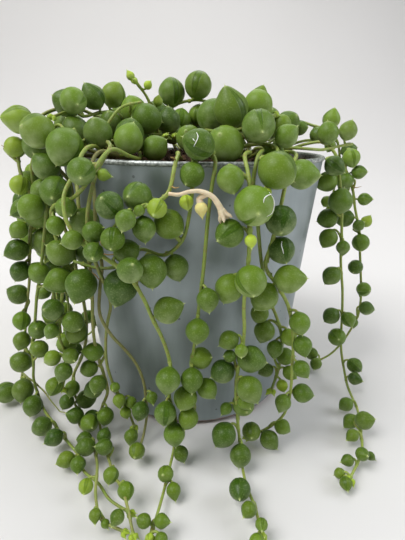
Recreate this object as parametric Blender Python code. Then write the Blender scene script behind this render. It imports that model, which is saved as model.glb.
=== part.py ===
"""A potted string of pearls: trailing stems of round, pointed leaves in a tapered sheet-metal pot.

Units are metres in the scene and millimetres in the design values below (MM turns one into the
other). +Z is up, -Y is the front. The origin is the middle of the pot's underside, where it stands.
"""

import math

import bmesh
import bpy
import numpy as np

MM = 0.001

# Pot: a tapered round shell with a folded rim
POT_HEIGHT = 97.6
RIM_RADIUS = 50.0
BASE_RADIUS = 39.5
WALL = 0.9
BASE_THICKNESS = 1.2
RIM_FOLD_HEIGHT = 1.9
RIM_FOLD_WIDTH = 0.8
BASE_EDGE = 0.7
POT_SIDES = 48

# Soil: fills the pot and is mounded in the middle
SOIL_EDGE_DEPTH = 3.2
SOIL_MOUND = 3.0
SOIL_GAP = 0.35
SOIL_SIDES = 36
SOIL_RINGS = 3

# Stems and pearls
STEM_RADIUS = 0.75
STEM_SIDES = 3
STEP = 7.5
PETIOLE = 1.6
LARGE_PEARL = 7.6
SMALL_PEARL_SWELL = 1.12
FLOOR = 0.3

# Room kept round a stem and between neighbours while the stems settle
STEM_ROOM = 1.55
GAP = 0.4
SETTLE_ROUNDS = 300
FREEING_ROUNDS = 50
PLACED_GIVE = 0.3

# The dried flower stalk: it leaves the front arch this far along, and bends through these points,
# in mm from there
STALK_ALONG = 31.0
STALK_OFFSET = (0.6, -1.95, 0.4)
STALK_BENDS = (
    (3.2, -2.2, 0.2),
    (5.8, -2.4, 1.0),
    (8.8, -2.4, 1.2),
    (11.9, -2.4, 0.0),
    (13.7, -2.4, -2.2),
    (15.0, -2.4, -4.6),
)
STALK_BUD = (9.2, -2.2, -3.4)
STALK_BUD_SIZE = 4.0

# Each stem is a route from the soil to its tip, in mm, and its pearls. "54 fuu 9" is a pearl of
# 9 mm, 54 mm along the stem, on its front upper side: l r are left and right, f b front and back,
# u d up and down, and a letter given twice counts double.
STEMS = {
    "left_outer": (
        [
            (-20, 2, 98), (-27, 0, 104), (-37, -8, 112), (-45, -14, 113), (-52, -22, 109),
            (-56, -26, 103), (-58, -28, 97), (-57, -30, 91), (-53, -32, 84), (-56, -32, 69),
            (-59, -30, 52), (-63, -28, 39), (-65, -27, 26), (-68, -26, 14), (-71, -25, 2),
        ],
        "54 fuu 9, 63 ruu 7, 66 fdd 6.5, 85 lff 6, 87 ruu 10, 94 ruu 10, 96 fuu 7.5, 98 fd 7, "
        "118 luu 7.5, 119 fd 6.5, 128 fd 6.5, 137 fd 8, 152 rffd 8.5, 162 lfdd 8.5",
    ),
    "left_diagonal": (
        [
            (-30, -12, 96), (-41, -22, 104), (-41, -36, 97), (-44, -40, 89), (-46, -40, 80),
            (-49, -38, 69), (-52, -36, 58), (-55, -35, 48), (-57, -34, 38), (-60, -33, 27),
            (-61, -32, 17), (-62, -31, 7), (-56, -37, 2), (-46, -49, 2), (-36, -60, 2),
            (-28, -70, 2), (-20, -78, 2), (-16, -80, 2),
        ],
        "41 llu 8.5, 42 u 8.5, 46 ruu 9.5, 50 u 8, 79 u 7.5, 102 ruu 7, 105 rrf 6.5, "
        "111 ruu 5.5, 127 fd 7.5, 147 llf 7, 155 lfu 6, 167 llf 5.5, 168 ffu 5",
    ),
    "left_inner": (
        [
            (-18, -22, 97), (-20, -32, 100), (-22, -42, 100), (-24, -50, 100), (-25, -56, 97),
            (-27, -58, 92), (-33, -55, 88), (-39, -52, 86), (-41, -50, 82), (-40, -50, 74),
            (-38, -50, 67), (-40, -49, 58), (-42, -48, 48), (-42, -47, 37), (-43, -46, 27),
            (-45, -45, 19),
        ],
        "12 rrf 8, 36 lfd 7.5, 40 rru 3.5, 58 rrf 6, 60 rfd 5.5, 76 lfd 8, 79 u 8.5, 96 rrf 7, "
        "97 fuu 7, 97 lfd 5, 112 buu 7, 112 ffd 6, 112 rfu 5.5, 113 lu 5.5, 121 lff 6",
    ),
    "front_long": (
        [
            (-26, -26, 96), (-29, -43, 101), (-34, -58, 84), (-31, -60, 77), (-25, -62, 74),
            (-21, -63, 72), (-18, -64, 70), (-14, -64, 66), (-11, -63, 57), (-7, -61, 46),
            (-5, -60, 36), (-4, -59, 24), (-4, -58, 14), (-5, -57, 3), (-6, -65, 2), (-7, -74, 2),
            (-8, -81, 2), (-9, -87, 2),
        ],
        "8 uu 9, 54 luu 5.5, 54 ruu 6, 55 rfu 5.5, 64 u 7, 66 rrffu 7, 71 rbu 9, 84 rruu 8, 99 fd 7.5, "
        "113 lfd 7, 121 fd 7, 132 rfd 5, 147 fuu 5, 149 rf 4.5, 164 lu 4, 164 ru 4, 167 rrf 3.5",
    ),
    "front_arch": (
        [
            (-3, -34, 96), (-4, -44, 100), (-2, -54, 98), (-4, -57, 93), (-6, -59, 89),
            (-9, -61, 87), (-13, -62, 86), (-18, -62, 83), (-23, -61, 81), (-25, -60, 78),
        ],
        "32 lfd 5.5, 35 ll 8, 37 lfd 3, 41 fd 6.5, 42 fd 5.5, 44 luu 7.5, 49 rfdd 6.5",
    ),
    "front_return": (
        [
            (1, -32, 97), (0, -44, 100), (2, -54, 96), (1, -56, 89), (0, -57, 81), (-3, -58, 74),
            (-7, -59, 70), (-11, -59, 71), (-14, -58, 72.5), (-19, -57, 69), (-25, -56, 67),
            (-30, -55, 67), (-34, -54, 69),
        ],
        "18 ffrrd 8.5, 21 fd 7, 31 lfd 4, 45 luu 8.5, 51 rddb 7.5, 69 dddf 10, 79 ddr 9.5",
    ),
    "front_centre": (
        [
            (5, -32, 97), (5, -44, 100), (5, -54, 97), (6, -57, 91), (5, -58, 84), (5, -59, 74),
            (4, -59, 64), (3, -58, 55), (2, -58, 45), (1, -57, 36), (2, -57, 27), (2, -56, 17),
        ],
        "58 rfd 6.5, 68 ffd 7, 85 ffd 7, 88 ruu 7, 92 lfd 7.5, 92 rrf 6.5, "
        "102 lff 6.5",
    ),
    "right_front": (
        [
            (12, -30, 97), (14, -42, 101), (16, -54, 98), (17, -58, 92), (17, -59, 84),
            (17, -60, 78), (17, -60, 69), (16, -60, 60), (17, -59, 48), (16, -58, 38),
            (15, -58, 30), (16, -57, 19), (17, -57, 9), (18, -59, 2), (18, -68, 2), (20, -77, 2),
            (21, -86, 2),
        ],
        "31 l 7.5, 45 u 11, 46 llu 8, 50 fuu 3.5, 53 fdd 9, 60 llbd 8.5, 80 lff 4, 81 l 6, "
        "86 lu 4, 90 ruu 8.5, 93 lu 7.5, 94 rfd 8, 101 rfu 4.5, 104 l 4, 109 u 7.5, 113 llf 8, "
        "117 ffd 7, 136 lfu 6.5, 143 lfu 4.5, 149 fuu 3.5, 151 lff 4",
    ),
    "right_second": (
        [
            (22, -22, 97), (28, -36, 100), (28, -48, 97), (27, -51, 92), (26, -53, 85),
            (25, -54, 77), (22, -54, 69), (25, -54, 64), (29, -54, 59), (32, -53, 51),
            (33, -53, 41), (34, -52, 30), (34, -51, 18), (32, -50, 10), (27, -49, 5), (22, -49, 2),
        ],
        "32 rb 9, 51 ruu 9, 58 ru 8, 62 rrf 8.5, 69 llf 8.5, 76 rfd 6.5, 84 rfd 6, 93 rfd 5.5, "
        "107 lfd 5.5, 110 rru 6.5, 125 rrf 5.5, 130 rf 6.5, 134 rfu 6.5",
    ),
    "right_short": (
        [
            (18, -28, 97), (22, -42, 100), (19, -52, 93), (20, -53, 83), (21, -52, 72),
            (23, -50, 64), (25, -49, 55), (29, -48, 48), (31, -48, 40), (31, -47, 31),
            (29, -46, 20),
        ],
        "70 lld 6, 77 lld 7, 78 rfd 5.5, 82 lfd 5.5, 94 ruu 6, 95 rrf 5, 97 llu 5, 98 rfd 4",
    ),
    "far_right_long": (
        [
            (30, 2, 96), (43, 0, 101), (51, -2, 102), (56, -5, 96), (58, -6, 84), (60, -7, 71),
            (61, -8, 56), (63, -9, 43), (64, -10, 30), (65, -10, 18), (67, -11, 8), (67, -20, 2),
            (66, -34, 2), (62, -49, 2), (59, -57, 2), (52, -67, 2),
        ],
        "30 lfd 7.5, 42 l 8, 53 llb 8, 53 luu 9.5, 62 fd 5.5, 62 l 7.5, 77 llf 7.5, 95 f 6, "
        "95 llf 7, 107 lfu 7.5, 118 rrf 6.5, 126 rfu 5.5, 142 l 5.5, 151 llf 5.5, 156 u 6.5, "
        "161 llu 4.5, 168 rrf 3, 171 fuu 4.5, 174 llu 4, 182 l 3.5, 182 llf 4",
    ),
    "far_right_back": (
        [
            (30, 12, 96), (42, 12, 101), (52, 12, 104), (59, 12, 98), (67, 10, 87), (70, 9, 76),
            (73, 8, 65), (75, 7, 52), (77, 6, 37), (77, 5, 26), (73, 4, 16), (67, 3, 7),
            (59, 2, 2),
        ],
        "42 ruu 7.5, 45 rru 6, 51 luu 7, 55 rrf 5.5, 65 l 8, 67 rru 5, 70 fd 7.5, 70 luu 5, "
        "85 lf 6.5, 100 fuu 6.5, 109 ru 6.5, 110 lfd 4, 138 llf 5.5, 138 llu 6",
    ),
    "right_stub": (
        [
            (22, -10, 97), (30, -20, 100), (36, -28, 101), (44, -22, 100), (51, -17, 101),
            (58, -14, 102),
        ],
        "40 luu 7.5, 46 uu 6.5",
    ),
    "side_right": (
        [
            (12, 4, 97), (24, 6, 103), (37, 8, 110.5), (51.5, 14, 108), (59.5, 17, 105.5),
            (64, 19, 98), (64, 19, 86), (62, 18, 74),
        ],
        "33 ffd 6, 44 ddf 6.5, 52 uu 7.5, 58 llfd 5, 65 rfu 6.5, 71 lfu 6, 77 rf 5.5, 84 lf 5",
    ),
    "top_left": (
        [
            (-18, 8, 97.5), (-22, 4, 108), (-30, -4, 111), (-38, -14, 110), (-38, -24, 109),
            (-42, -30, 107),
        ],
        "23 u 9, 31 fuu 8.5, 39 lluuf 9.3, 45 ffu 8.5",
    ),
    "upright_left": (
        [
            (-26, -20, 97), (-29, -32, 99), (-29, -30, 106), (-27, -27, 110), (-22, -24, 114),
            (-17, -20, 115),
        ],
        "34 rbdd 10",
    ),
    "young_shoot": (
        [
            (-13, -4, 98), (-16, -8, 112), (-17, -10, 116), (-18, -12, 119), (-20, -13, 122),
        ],
        "19 r 3.5, 25 r 3, 27 lu 3",
    ),
    "top_back": (
        [
            (-8, 14, 98), (-8, 16, 110), (-11, 12, 115), (-3, 12, 117), (5, 12, 117),
            (14, 12, 116), (23, 12, 113),
        ],
        "17 u 11, 27 ruu 11, 55 ruu 7.5",
    ),
    "top_centre": (
        [
            (2, -8, 98), (1, -18, 104), (4, -26, 106), (10, -35, 105.5), (17, -36, 107),
            (24, -32, 110), (27, -26, 111),
        ],
        "18 llffd 8.5, 22 rbbuu 11, 31 ffdd 11.5, 33 buu 11, 41 rffdd 10, 50 lbu 9.5, 54 rbd 7",
    ),
    "top_right": (
        [
            (12, -16, 98), (19, -32, 102), (24, -41, 103), (23.5, -50, 98.5), (21, -55.5, 91),
        ],
        "22 rd 7, 28 rrb 7, 37 lffdd 10.5",
    ),
    "left_crown": (
        [
            (-25, -10, 97), (-31, -24, 105), (-33.5, -36, 103), (-37.5, -38, 105.5),
            (-42, -33, 107), (-45, -31, 105),
        ],
        "29 fdd 11, 43 ffd 10.5",
    ),
    "woody_left": (
        [
            (-20, -30, 96), (-27, -43, 100.5), (-27, -52, 88), (-28, -53, 75), (-28, -53, 64),
            (-27, -54, 56), (-26, -54, 49), (-21, -53, 40), (-16, -51, 30), (-15, -50, 20),
            (-15, -48, 10), (-17, -51, 2), (-17, -57, 2),
        ],
        "9 ruu 9, 101 rf 4, 103.5 lfd 6, 130 fu 5.5",
    ),
    "left_fourth": (
        [
            (-28, -24, 96), (-41, -31, 102), (-34, -47, 89), (-32, -49, 76), (-31, -49, 67),
            (-31, -48, 57), (-32, -47, 46), (-32, -46, 35), (-30, -45, 24), (-29, -45, 18),
            (-32, -44, 10), (-35, -43, 2), (-29, -55, 2), (-24, -66, 2), (-20, -76, 2),
            (-17, -83, 2), (-14, -88, 2),
        ],
        "9 luu 9, 54 u 9, 98 luu 6.5, 101 llf 6, 105 lfu 6, 109 l 6.5, 116 fd 6, 122 lfd 6, 140 u 5, "
        "145 luu 5.5, 151 ffu 5, 160 rfu 5, 171 lfu 4",
    ),
    "left_fifth": (
        [
            (-34, -16, 96), (-46, -22, 102), (-41, -42, 90), (-38, -44, 74), (-37, -43, 62),
            (-36, -42, 51), (-36, -41, 42), (-38, -40, 31), (-43, -39, 20), (-44, -38, 11),
            (-41, -38, 3), (-36, -46, 2), (-32, -58, 2), (-28, -69, 2), (-26, -78, 2),
            (-23, -84, 2), (-17, -86, 2),
        ],
        "8 uu 8.5, 50 rru 4.5, 58 rfd 7.5, 86 lfd 7.5, 103 luu 5.5, 111 fd 5.5, 118 fd 5.5, 127 ruu 7, "
        "134 luu 6, 137 ruu 6.5, 147 lu 5, 152 luu 6, 164 lfu 4.5, 176 rf 2.5, 178 lu 3.5",
    ),
    "left_sixth": (
        [
            (-24, -18, 96), (-25, -45, 100.5), (-28, -54, 90), (-29, -58, 78), (-27, -56, 67),
            (-27, -53, 55), (-27, -52, 44), (-28, -50, 32), (-27, -49, 24), (-25, -48, 18),
            (-22, -48, 13), (-20, -47, 4),
        ],
        "9 ruu 9.5, 114 rfd 4.5, 115 fuu 3.5, 119 rrf 4, 120 rfd 4, 131 fd 5",
    ),
}

# Stems on the sides and the back, by rule: azimuth in degrees, how far the stem leans out past
# the rim in mm, the height its tip hangs at, and the turn of its tail along the surface.
HANGING = {
    "behind_left_1": (188, 9, 34, 0),
    "behind_left_2": (197, 6, 22, 0),
    "behind_left_3": (206, 7, 20, 0),
    "side_left": (178, 6, 0, -4),
    "back_1": (168, 12, 30, 0),
    "back_2": (156, 5, 0, 4),
    "back_3": (145, 11, 46, 0),
    "back_4": (133, 5, 0, -4),
    "back_5": (121, 12, 0, -6),
    "back_6": (109, 5, 36, 0),
    "back_7": (97, 11, 0, -8),
    "back_8": (85, 5, 18, 0),
    "back_9": (73, 12, 0, -6),
    "back_10": (61, 6, 40, 0),
    "back_11": (49, 11, 0, 5),
    "back_12": (37, 5, 26, 0),
}

# Stems that stay on the soil, by rule: azimuth and radius where the stem roots, and how far
# round the pot it runs, in degrees.
LOUNGING = {
    "crown_1": (20, 24, 70),
    "crown_2": (90, 21, 60),
    "crown_3": (145, 24, 60),
    "crown_4": (110, 10, 140),
    "crown_5": (335, 28, 60),
    "crown_6": (300, 13, 85),
    "crown_7": (35, 9, 110),
    "crown_8": (180, 17, 70),
    "crown_9": (350, 16, 50),
}

GREEN = (0.11, 0.22, 0.06, 1.0)
PALE_GREEN = (0.35, 0.45, 0.16, 1.0)
ZINC = (0.30, 0.34, 0.36, 1.0)
SOIL_BROWN = (0.05, 0.03, 0.02, 1.0)
DRIED = (0.62, 0.44, 0.32, 1.0)
LETTERS = {
    "l": (-1, 0, 0),
    "r": (1, 0, 0),
    "f": (0, -1, 0),
    "b": (0, 1, 0),
    "u": (0, 0, 1),
    "d": (0, 0, -1),
}


def clear_scene():
    for thing in list(bpy.data.objects):
        bpy.data.objects.remove(thing, do_unlink=True)


def material(name, colour, roughness, metallic=0.0):
    made = bpy.data.materials.new(name)
    made.use_nodes = True
    shader = made.node_tree.nodes["Principled BSDF"]
    shader.inputs["Base Color"].default_value = colour
    shader.inputs["Roughness"].default_value = roughness
    shader.inputs["Metallic"].default_value = metallic
    return made


def add_object(name, mesh, finish):
    thing = bpy.data.objects.new(name, mesh)
    bpy.context.scene.collection.objects.link(thing)
    mesh.materials.clear()
    mesh.materials.append(finish)
    return thing


# ---------------------------------------------------------------- pot and soil


def turned(name, profile, sides):
    """A closed solid turned from a profile of (radius, height) in mm, from the axis underneath
    round the outside and back to the axis."""
    bm = bmesh.new()
    rings = []
    for radius, height in profile:
        if radius == 0.0:
            rings.append([bm.verts.new((0.0, 0.0, height * MM))])
            continue
        ring = []
        for k in range(sides):
            angle = 2 * math.pi * k / sides
            ring.append(
                bm.verts.new(
                    (radius * MM * math.cos(angle), radius * MM * math.sin(angle), height * MM)
                )
            )
        rings.append(ring)
    for low, high in zip(rings, rings[1:]):
        for k in range(sides):
            after = (k + 1) % sides
            if len(low) == 1:
                bm.faces.new((low[0], high[after], high[k]))
            elif len(high) == 1:
                bm.faces.new((low[k], low[after], high[0]))
            else:
                bm.faces.new((low[k], low[after], high[after], high[k]))
    bmesh.ops.recalc_face_normals(bm, faces=bm.faces)
    mesh = bpy.data.meshes.new(name)
    bm.to_mesh(mesh)
    bm.free()
    mesh.shade_smooth()
    mesh.set_sharp_from_angle(angle=math.radians(35))
    return mesh


def wall_radius(height):
    return BASE_RADIUS + (RIM_RADIUS - BASE_RADIUS) * height / POT_HEIGHT


def soil_top(radius):
    """Height of the soil at a distance from the pot's axis."""
    edge = POT_HEIGHT - SOIL_EDGE_DEPTH
    return edge + SOIL_MOUND * (1 - (radius / RIM_RADIUS) ** 2)


def make_pot(finish):
    under_fold = POT_HEIGHT - RIM_FOLD_HEIGHT
    profile = [
        (0.0, 0.0),
        (BASE_RADIUS - BASE_EDGE, 0.0),
        (wall_radius(BASE_EDGE), BASE_EDGE),
        (wall_radius(under_fold), under_fold),
        (RIM_RADIUS + 0.4, under_fold + 0.3),
        (RIM_RADIUS + 0.6, POT_HEIGHT - 0.7),
        (RIM_RADIUS + 0.1, POT_HEIGHT),
        (RIM_RADIUS - RIM_FOLD_WIDTH, POT_HEIGHT),
        (RIM_RADIUS - WALL - 0.5, POT_HEIGHT - 0.6),
        (wall_radius(under_fold) - WALL, under_fold),
        (wall_radius(BASE_THICKNESS) - WALL, BASE_THICKNESS),
        (0.0, BASE_THICKNESS),
    ]
    return add_object("pot", turned("pot", profile, POT_SIDES), finish)


def make_soil(finish):
    inner = WALL + SOIL_GAP
    floor = BASE_THICKNESS + SOIL_GAP
    edge = POT_HEIGHT - SOIL_EDGE_DEPTH
    outer = wall_radius(edge) - inner
    profile = [(0.0, floor), (wall_radius(floor) - inner, floor), (outer, edge)]
    for k in range(SOIL_RINGS - 1, 0, -1):
        radius = outer * k / SOIL_RINGS
        profile.append((radius, soil_top(radius)))
    profile.append((0.0, soil_top(0.0)))
    return add_object("soil", turned("soil", profile, SOIL_SIDES), finish)


# ---------------------------------------------------------------- routes


def polar(azimuth, radius, height):
    angle = math.radians(azimuth)
    return (radius * math.cos(angle), radius * math.sin(angle), height)


def hanging_stem(azimuth, lean, tip, turn):
    """Route and pearls of a stem that comes over the rim and hangs, or runs on along the
    surface when its tip height is 0."""
    reach = RIM_RADIUS + lean
    route = [
        polar(azimuth - 6, 30, 97),
        polar(azimuth - 2, 44, 102.5),
        polar(azimuth, RIM_RADIUS + 0.6 * lean, 103),
        polar(azimuth, reach + 3, 94),
        polar(azimuth, reach + 3, 72),
        polar(azimuth, reach + 1, 48),
        polar(azimuth, reach + 1, max(tip, 26)),
    ]
    if tip == 0:
        route += [
            polar(azimuth, reach + 2, 8),
            polar(azimuth + 0.3 * turn, reach + 9, 2),
            polar(azimuth + turn, reach + 22, 2),
        ]
    pearls = []
    length = route_length(route)
    along = 19.0
    count = 0
    while along < length - 1:
        share = along / length
        size = 9.6 - 4.2 * share + 0.8 * math.sin(2.3 * count + azimuth)
        side = math.radians(azimuth + (74 if count % 2 else -74) + 30 * math.sin(1.7 * count))
        lift = 0.75 if share < 0.25 else -0.25
        if tip == 0 and share > 0.8:
            lift = 0.35
        pearls.append((along, (math.cos(side), math.sin(side), lift), round(size, 1)))
        along += 0.9 * size + 3.3
        count += 1
    return route, pearls


def lounging_stem(azimuth, radius, run):
    """Route and pearls of a stem that lies over the soil inside the rim."""
    route = [
        polar(azimuth, radius, soil_top(radius) + 1.5),
        polar(azimuth + 0.1 * run, radius + 1, 104),
        polar(azimuth + 0.4 * run, radius + 5, 107),
        polar(azimuth + 0.7 * run, radius + 7, 106),
        polar(azimuth + run, radius + 9, 104),
    ]
    pearls = []
    length = route_length(route)
    along = 8.0
    count = 0
    while along < length:
        size = 9.0 + 0.9 * math.sin(2.1 * count + radius)
        side = math.radians(azimuth + run * along / length + (90 if count % 2 else -90))
        pearls.append((along, (0.6 * math.cos(side), 0.6 * math.sin(side), 0.8), round(size, 1)))
        along += 0.8 * size + 1.5
        count += 1
    return route, pearls


def route_length(route):
    points = np.array(route, float)
    return float(np.linalg.norm(np.diff(points, axis=0), axis=1).sum())


def smooth_route(route, step):
    """Points about step apart along a smooth curve through the route's own points."""
    knots = np.array(route, float)
    knots = np.vstack([2 * knots[0] - knots[1], knots, 2 * knots[-1] - knots[-2]])
    fine = []
    for a, b, c, d in zip(knots, knots[1:], knots[2:], knots[3:]):
        for t in np.arange(0, 1, 0.125):
            fine.append(
                0.5
                * (
                    2 * b
                    + (c - a) * t
                    + (2 * a - 5 * b + 4 * c - d) * t**2
                    + (3 * b - a - 3 * c + d) * t**3
                )
            )
    fine.append(knots[-2])
    fine = np.array(fine)
    run = np.concatenate([[0], np.cumsum(np.linalg.norm(np.diff(fine, axis=0), axis=1))])
    count = max(2, round(run[-1] / step))
    even = np.linspace(0, run[-1], count + 1)
    return np.stack([np.interp(even, run, fine[:, k]) for k in range(3)], axis=1)


def read_pearls(text):
    """Turns "54 fuu 9, ..." into (along, direction, size)."""
    pearls = []
    for item in text.split(","):
        if not item.strip():
            continue
        along, letters, size = item.split()
        direction = np.sum([LETTERS[c] for c in letters], axis=0)
        pearls.append((float(along), tuple(direction), float(size)))
    return pearls


def all_stems():
    """Every stem's name, route and pearls, in one order."""
    stems = []
    for name, (route, text) in STEMS.items():
        stems.append((name, route, read_pearls(text)))
    for name, values in HANGING.items():
        stems.append((name, *hanging_stem(*values)))
    for name, values in LOUNGING.items():
        stems.append((name, *lounging_stem(*values)))
    return stems


# ---------------------------------------------------------------- settling


class Plants:
    """The stems' joints and the pearls as points, with what holds them together."""

    def __init__(self, stems):
        joints, pearls = [], []
        give = [PLACED_GIVE if name in STEMS else 1.0 for name, _, _ in stems]
        self.spans = {}
        for number, (name, route, beads) in enumerate(stems):
            path = smooth_route(route, STEP)
            path[0][2] = soil_top(math.hypot(path[0][0], path[0][1])) + STEM_RADIUS + GAP
            first = len(joints)
            joints += [(p, number) for p in path]
            step = route_step(path)
            beads_here = []
            for along, direction, size in beads:
                place = min(along / step, len(path) - 1.001)
                joint = int(place)
                share = place - joint
                root = path[joint] * (1 - share) + path[joint + 1] * share
                direction = np.array(direction, float)
                direction /= np.linalg.norm(direction)
                centre = root + direction * (size / 2 + PETIOLE)
                beads_here.append(len(pearls))
                pearls.append((centre, size / 2, first + joint, share, number))
            self.spans[name] = (first, len(joints), beads_here)
        self.joint = np.array([p for p, _ in joints])
        self.joint_stem = np.array([s for _, s in joints])
        self.pearl = np.array([p[0] for p in pearls])
        self.radius = np.array([p[1] for p in pearls])
        self.root = np.array([p[2] for p in pearls])
        self.share = np.array([p[3] for p in pearls])
        self.pearl_stem = np.array([p[4] for p in pearls])
        same = self.joint_stem[:-1] == self.joint_stem[1:]
        self.links = np.nonzero(same)[0]
        self.link_length = np.linalg.norm(
            self.joint[self.links + 1] - self.joint[self.links], axis=1
        )
        self.pinned = np.concatenate([[True], ~same])
        self.give = np.array(give)

    def roots(self):
        share = self.share[:, None]
        return self.joint[self.root] * (1 - share) + self.joint[self.root + 1] * share


def route_step(path):
    return float(np.linalg.norm(np.diff(path, axis=0), axis=1).mean())


def close_pairs(points, room, owner, is_pearl, anchor):
    """Pairs of balls that may come to touch, leaving out a stem's own joints and a pearl's own
    root."""
    gap = points[:, None] - points[None]
    near = (gap**2).sum(2) < (room[:, None] + room[None] + 4.0) ** 2
    first, second = np.nonzero(np.triu(near, 1))
    same = owner[first] == owner[second]
    both_stem = ~is_pearl[first] & ~is_pearl[second]
    mixed = is_pearl[first] != is_pearl[second]
    rooted = same & mixed & (np.abs(anchor[first] - anchor[second]) < 1.6)
    keep = ~(same & both_stem) & ~rooted
    return first[keep], second[keep]


def push_apart(points, room, give, first, second):
    """How far each ball has to move so that no pair is nearer than its room. A ball that gives
    less moves less."""
    gap = points[first] - points[second]
    distance = np.maximum(np.linalg.norm(gap, axis=1), 1e-6)
    short = np.maximum(room[first] + room[second] + GAP - distance, 0)
    move = gap / distance[:, None] * short[:, None]
    share = (give[first] / (give[first] + give[second]))[:, None]
    total = np.zeros_like(points)
    count = np.zeros(len(points))
    np.add.at(total, first, move * share)
    np.add.at(total, second, move * (share - 1))
    hit = (short > 0).astype(float)
    np.add.at(count, first, hit)
    np.add.at(count, second, hit)
    return total * (1.25 / np.maximum(count, 1))[:, None]


def keep_off_pot(points, room, inside):
    """Moves balls out of the pot's wall, its rim, the soil and the surface that it stands on."""
    radius = np.maximum(np.hypot(points[:, 0], points[:, 1]), 1e-6)
    height = points[:, 2]
    outward = points[:, :2] / radius[:, None]
    rise = RIM_RADIUS - BASE_RADIUS
    length = math.hypot(rise, POT_HEIGHT)
    normal_out, normal_up = POT_HEIGHT / length, -rise / length
    need = room + GAP
    beside = ~inside & (height < POT_HEIGHT)
    off_wall = (radius - BASE_RADIUS) * normal_out + height * normal_up
    push = np.where(beside, np.maximum(need - off_wall, 0), 0)
    radius_new = radius + push * normal_out
    height_new = height + push * normal_up
    # the folded rim, as a ring of round section
    from_rim = np.stack([radius_new - RIM_RADIUS, height_new - (POT_HEIGHT - 1.0)], axis=1)
    distance = np.maximum(np.linalg.norm(from_rim, axis=1), 1e-6)
    short = np.maximum(need + 1.2 - distance, 0) / distance
    radius_new = radius_new + from_rim[:, 0] * short
    height_new = height_new + from_rim[:, 1] * short
    over_soil = radius_new < RIM_RADIUS - 1.0
    ground = np.where(
        over_soil & (height_new > 60), soil_top(np.minimum(radius_new, RIM_RADIUS)), FLOOR - GAP
    )
    height_new = np.maximum(height_new, ground + need)
    return np.concatenate([outward * radius_new[:, None], height_new[:, None]], axis=1)


def settle(plants):
    """Moves stems and pearls a little at a time until none is inside another, the pot or the
    soil, with each pearl held to its stem."""
    joint_goal = plants.joint.copy()
    pearl_goal = plants.pearl.copy()
    count = len(plants.joint)
    middle = plants.links
    links = plants.links
    room = np.concatenate(
        [np.full(count + len(middle), STEM_ROOM), plants.radius]
    )
    owner = np.concatenate([plants.joint_stem, plants.joint_stem[middle], plants.pearl_stem])
    is_pearl = np.arange(len(room)) >= count + len(middle)
    anchor = np.concatenate(
        [np.arange(count), middle + 0.5, plants.root + plants.share]
    )
    hang = plants.radius + PETIOLE
    free = ~plants.pinned
    for number in range(SETTLE_ROUNDS):
        pull = 0.12 * max(0.0, 1 - number / (0.7 * SETTLE_ROUNDS))
        plants.joint[free] += pull * (joint_goal - plants.joint)[free]
        plants.pearl += pull * (pearl_goal - plants.pearl)
        # stems keep their length and pearls their petioles
        for _ in range(2 if number < SETTLE_ROUNDS - FREEING_ROUNDS else 0):
            along = plants.joint[links + 1] - plants.joint[links]
            length = np.maximum(np.linalg.norm(along, axis=1), 1e-6)
            fix = along * (0.45 * (1 - plants.link_length / length))[:, None]
            move = np.zeros_like(plants.joint)
            np.add.at(move, links, fix)
            np.add.at(move, links + 1, -fix)
            plants.joint[free] += move[free] * 0.6
        roots = plants.roots()
        away = plants.pearl - roots
        length = np.maximum(np.linalg.norm(away, axis=1), 1e-6)
        hold = 0.7 if number < SETTLE_ROUNDS - FREEING_ROUNDS else 0.15
        plants.pearl -= away * (hold * (1 - hang / length))[:, None]
        points = np.concatenate(
            [
                plants.joint,
                0.5 * (plants.joint[middle] + plants.joint[middle + 1]),
                plants.pearl,
            ]
        )
        if number % 8 == 0:
            first, second = close_pairs(points, room, owner, is_pearl, anchor)
        inside = (np.hypot(points[:, 0], points[:, 1]) < RIM_RADIUS) & (points[:, 2] > 80)
        moved = points + push_apart(points, room, plants.give[owner], first, second)
        moved = keep_off_pot(moved, room, inside)
        shift = moved - points
        move = shift[:count].copy()
        half = shift[count : count + len(middle)] * 0.5
        np.add.at(move, middle, half)
        np.add.at(move, middle + 1, half)
        plants.joint[free] += move[free]
        plants.pearl += shift[count + len(middle) :]
    return plants


# ---------------------------------------------------------------- meshes


def stem_mesh(bm, path):
    """A tube of STEM_SIDES sides along the path, with both ends closed."""
    tangents = np.gradient(path, axis=0)
    tangents /= np.linalg.norm(tangents, axis=1)[:, None]
    side = np.cross(tangents[0], (0.31, 0.77, 0.55))
    side /= np.linalg.norm(side)
    rings = []
    for point, tangent in zip(path, tangents):
        side = side - tangent * side.dot(tangent)
        side /= np.linalg.norm(side)
        across = np.cross(tangent, side)
        ring = []
        for k in range(STEM_SIDES):
            angle = 2 * math.pi * (k + 0.5) / STEM_SIDES
            spot = point + STEM_RADIUS * (side * math.cos(angle) + across * math.sin(angle))
            ring.append(bm.verts.new(spot * MM))
        rings.append(ring)
    for low, high in zip(rings, rings[1:]):
        for k in range(STEM_SIDES):
            after = (k + 1) % STEM_SIDES
            bm.faces.new((low[k], low[after], high[after], high[k]))
    bm.faces.new(rings[0][::-1])
    bm.faces.new(rings[-1])


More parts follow.
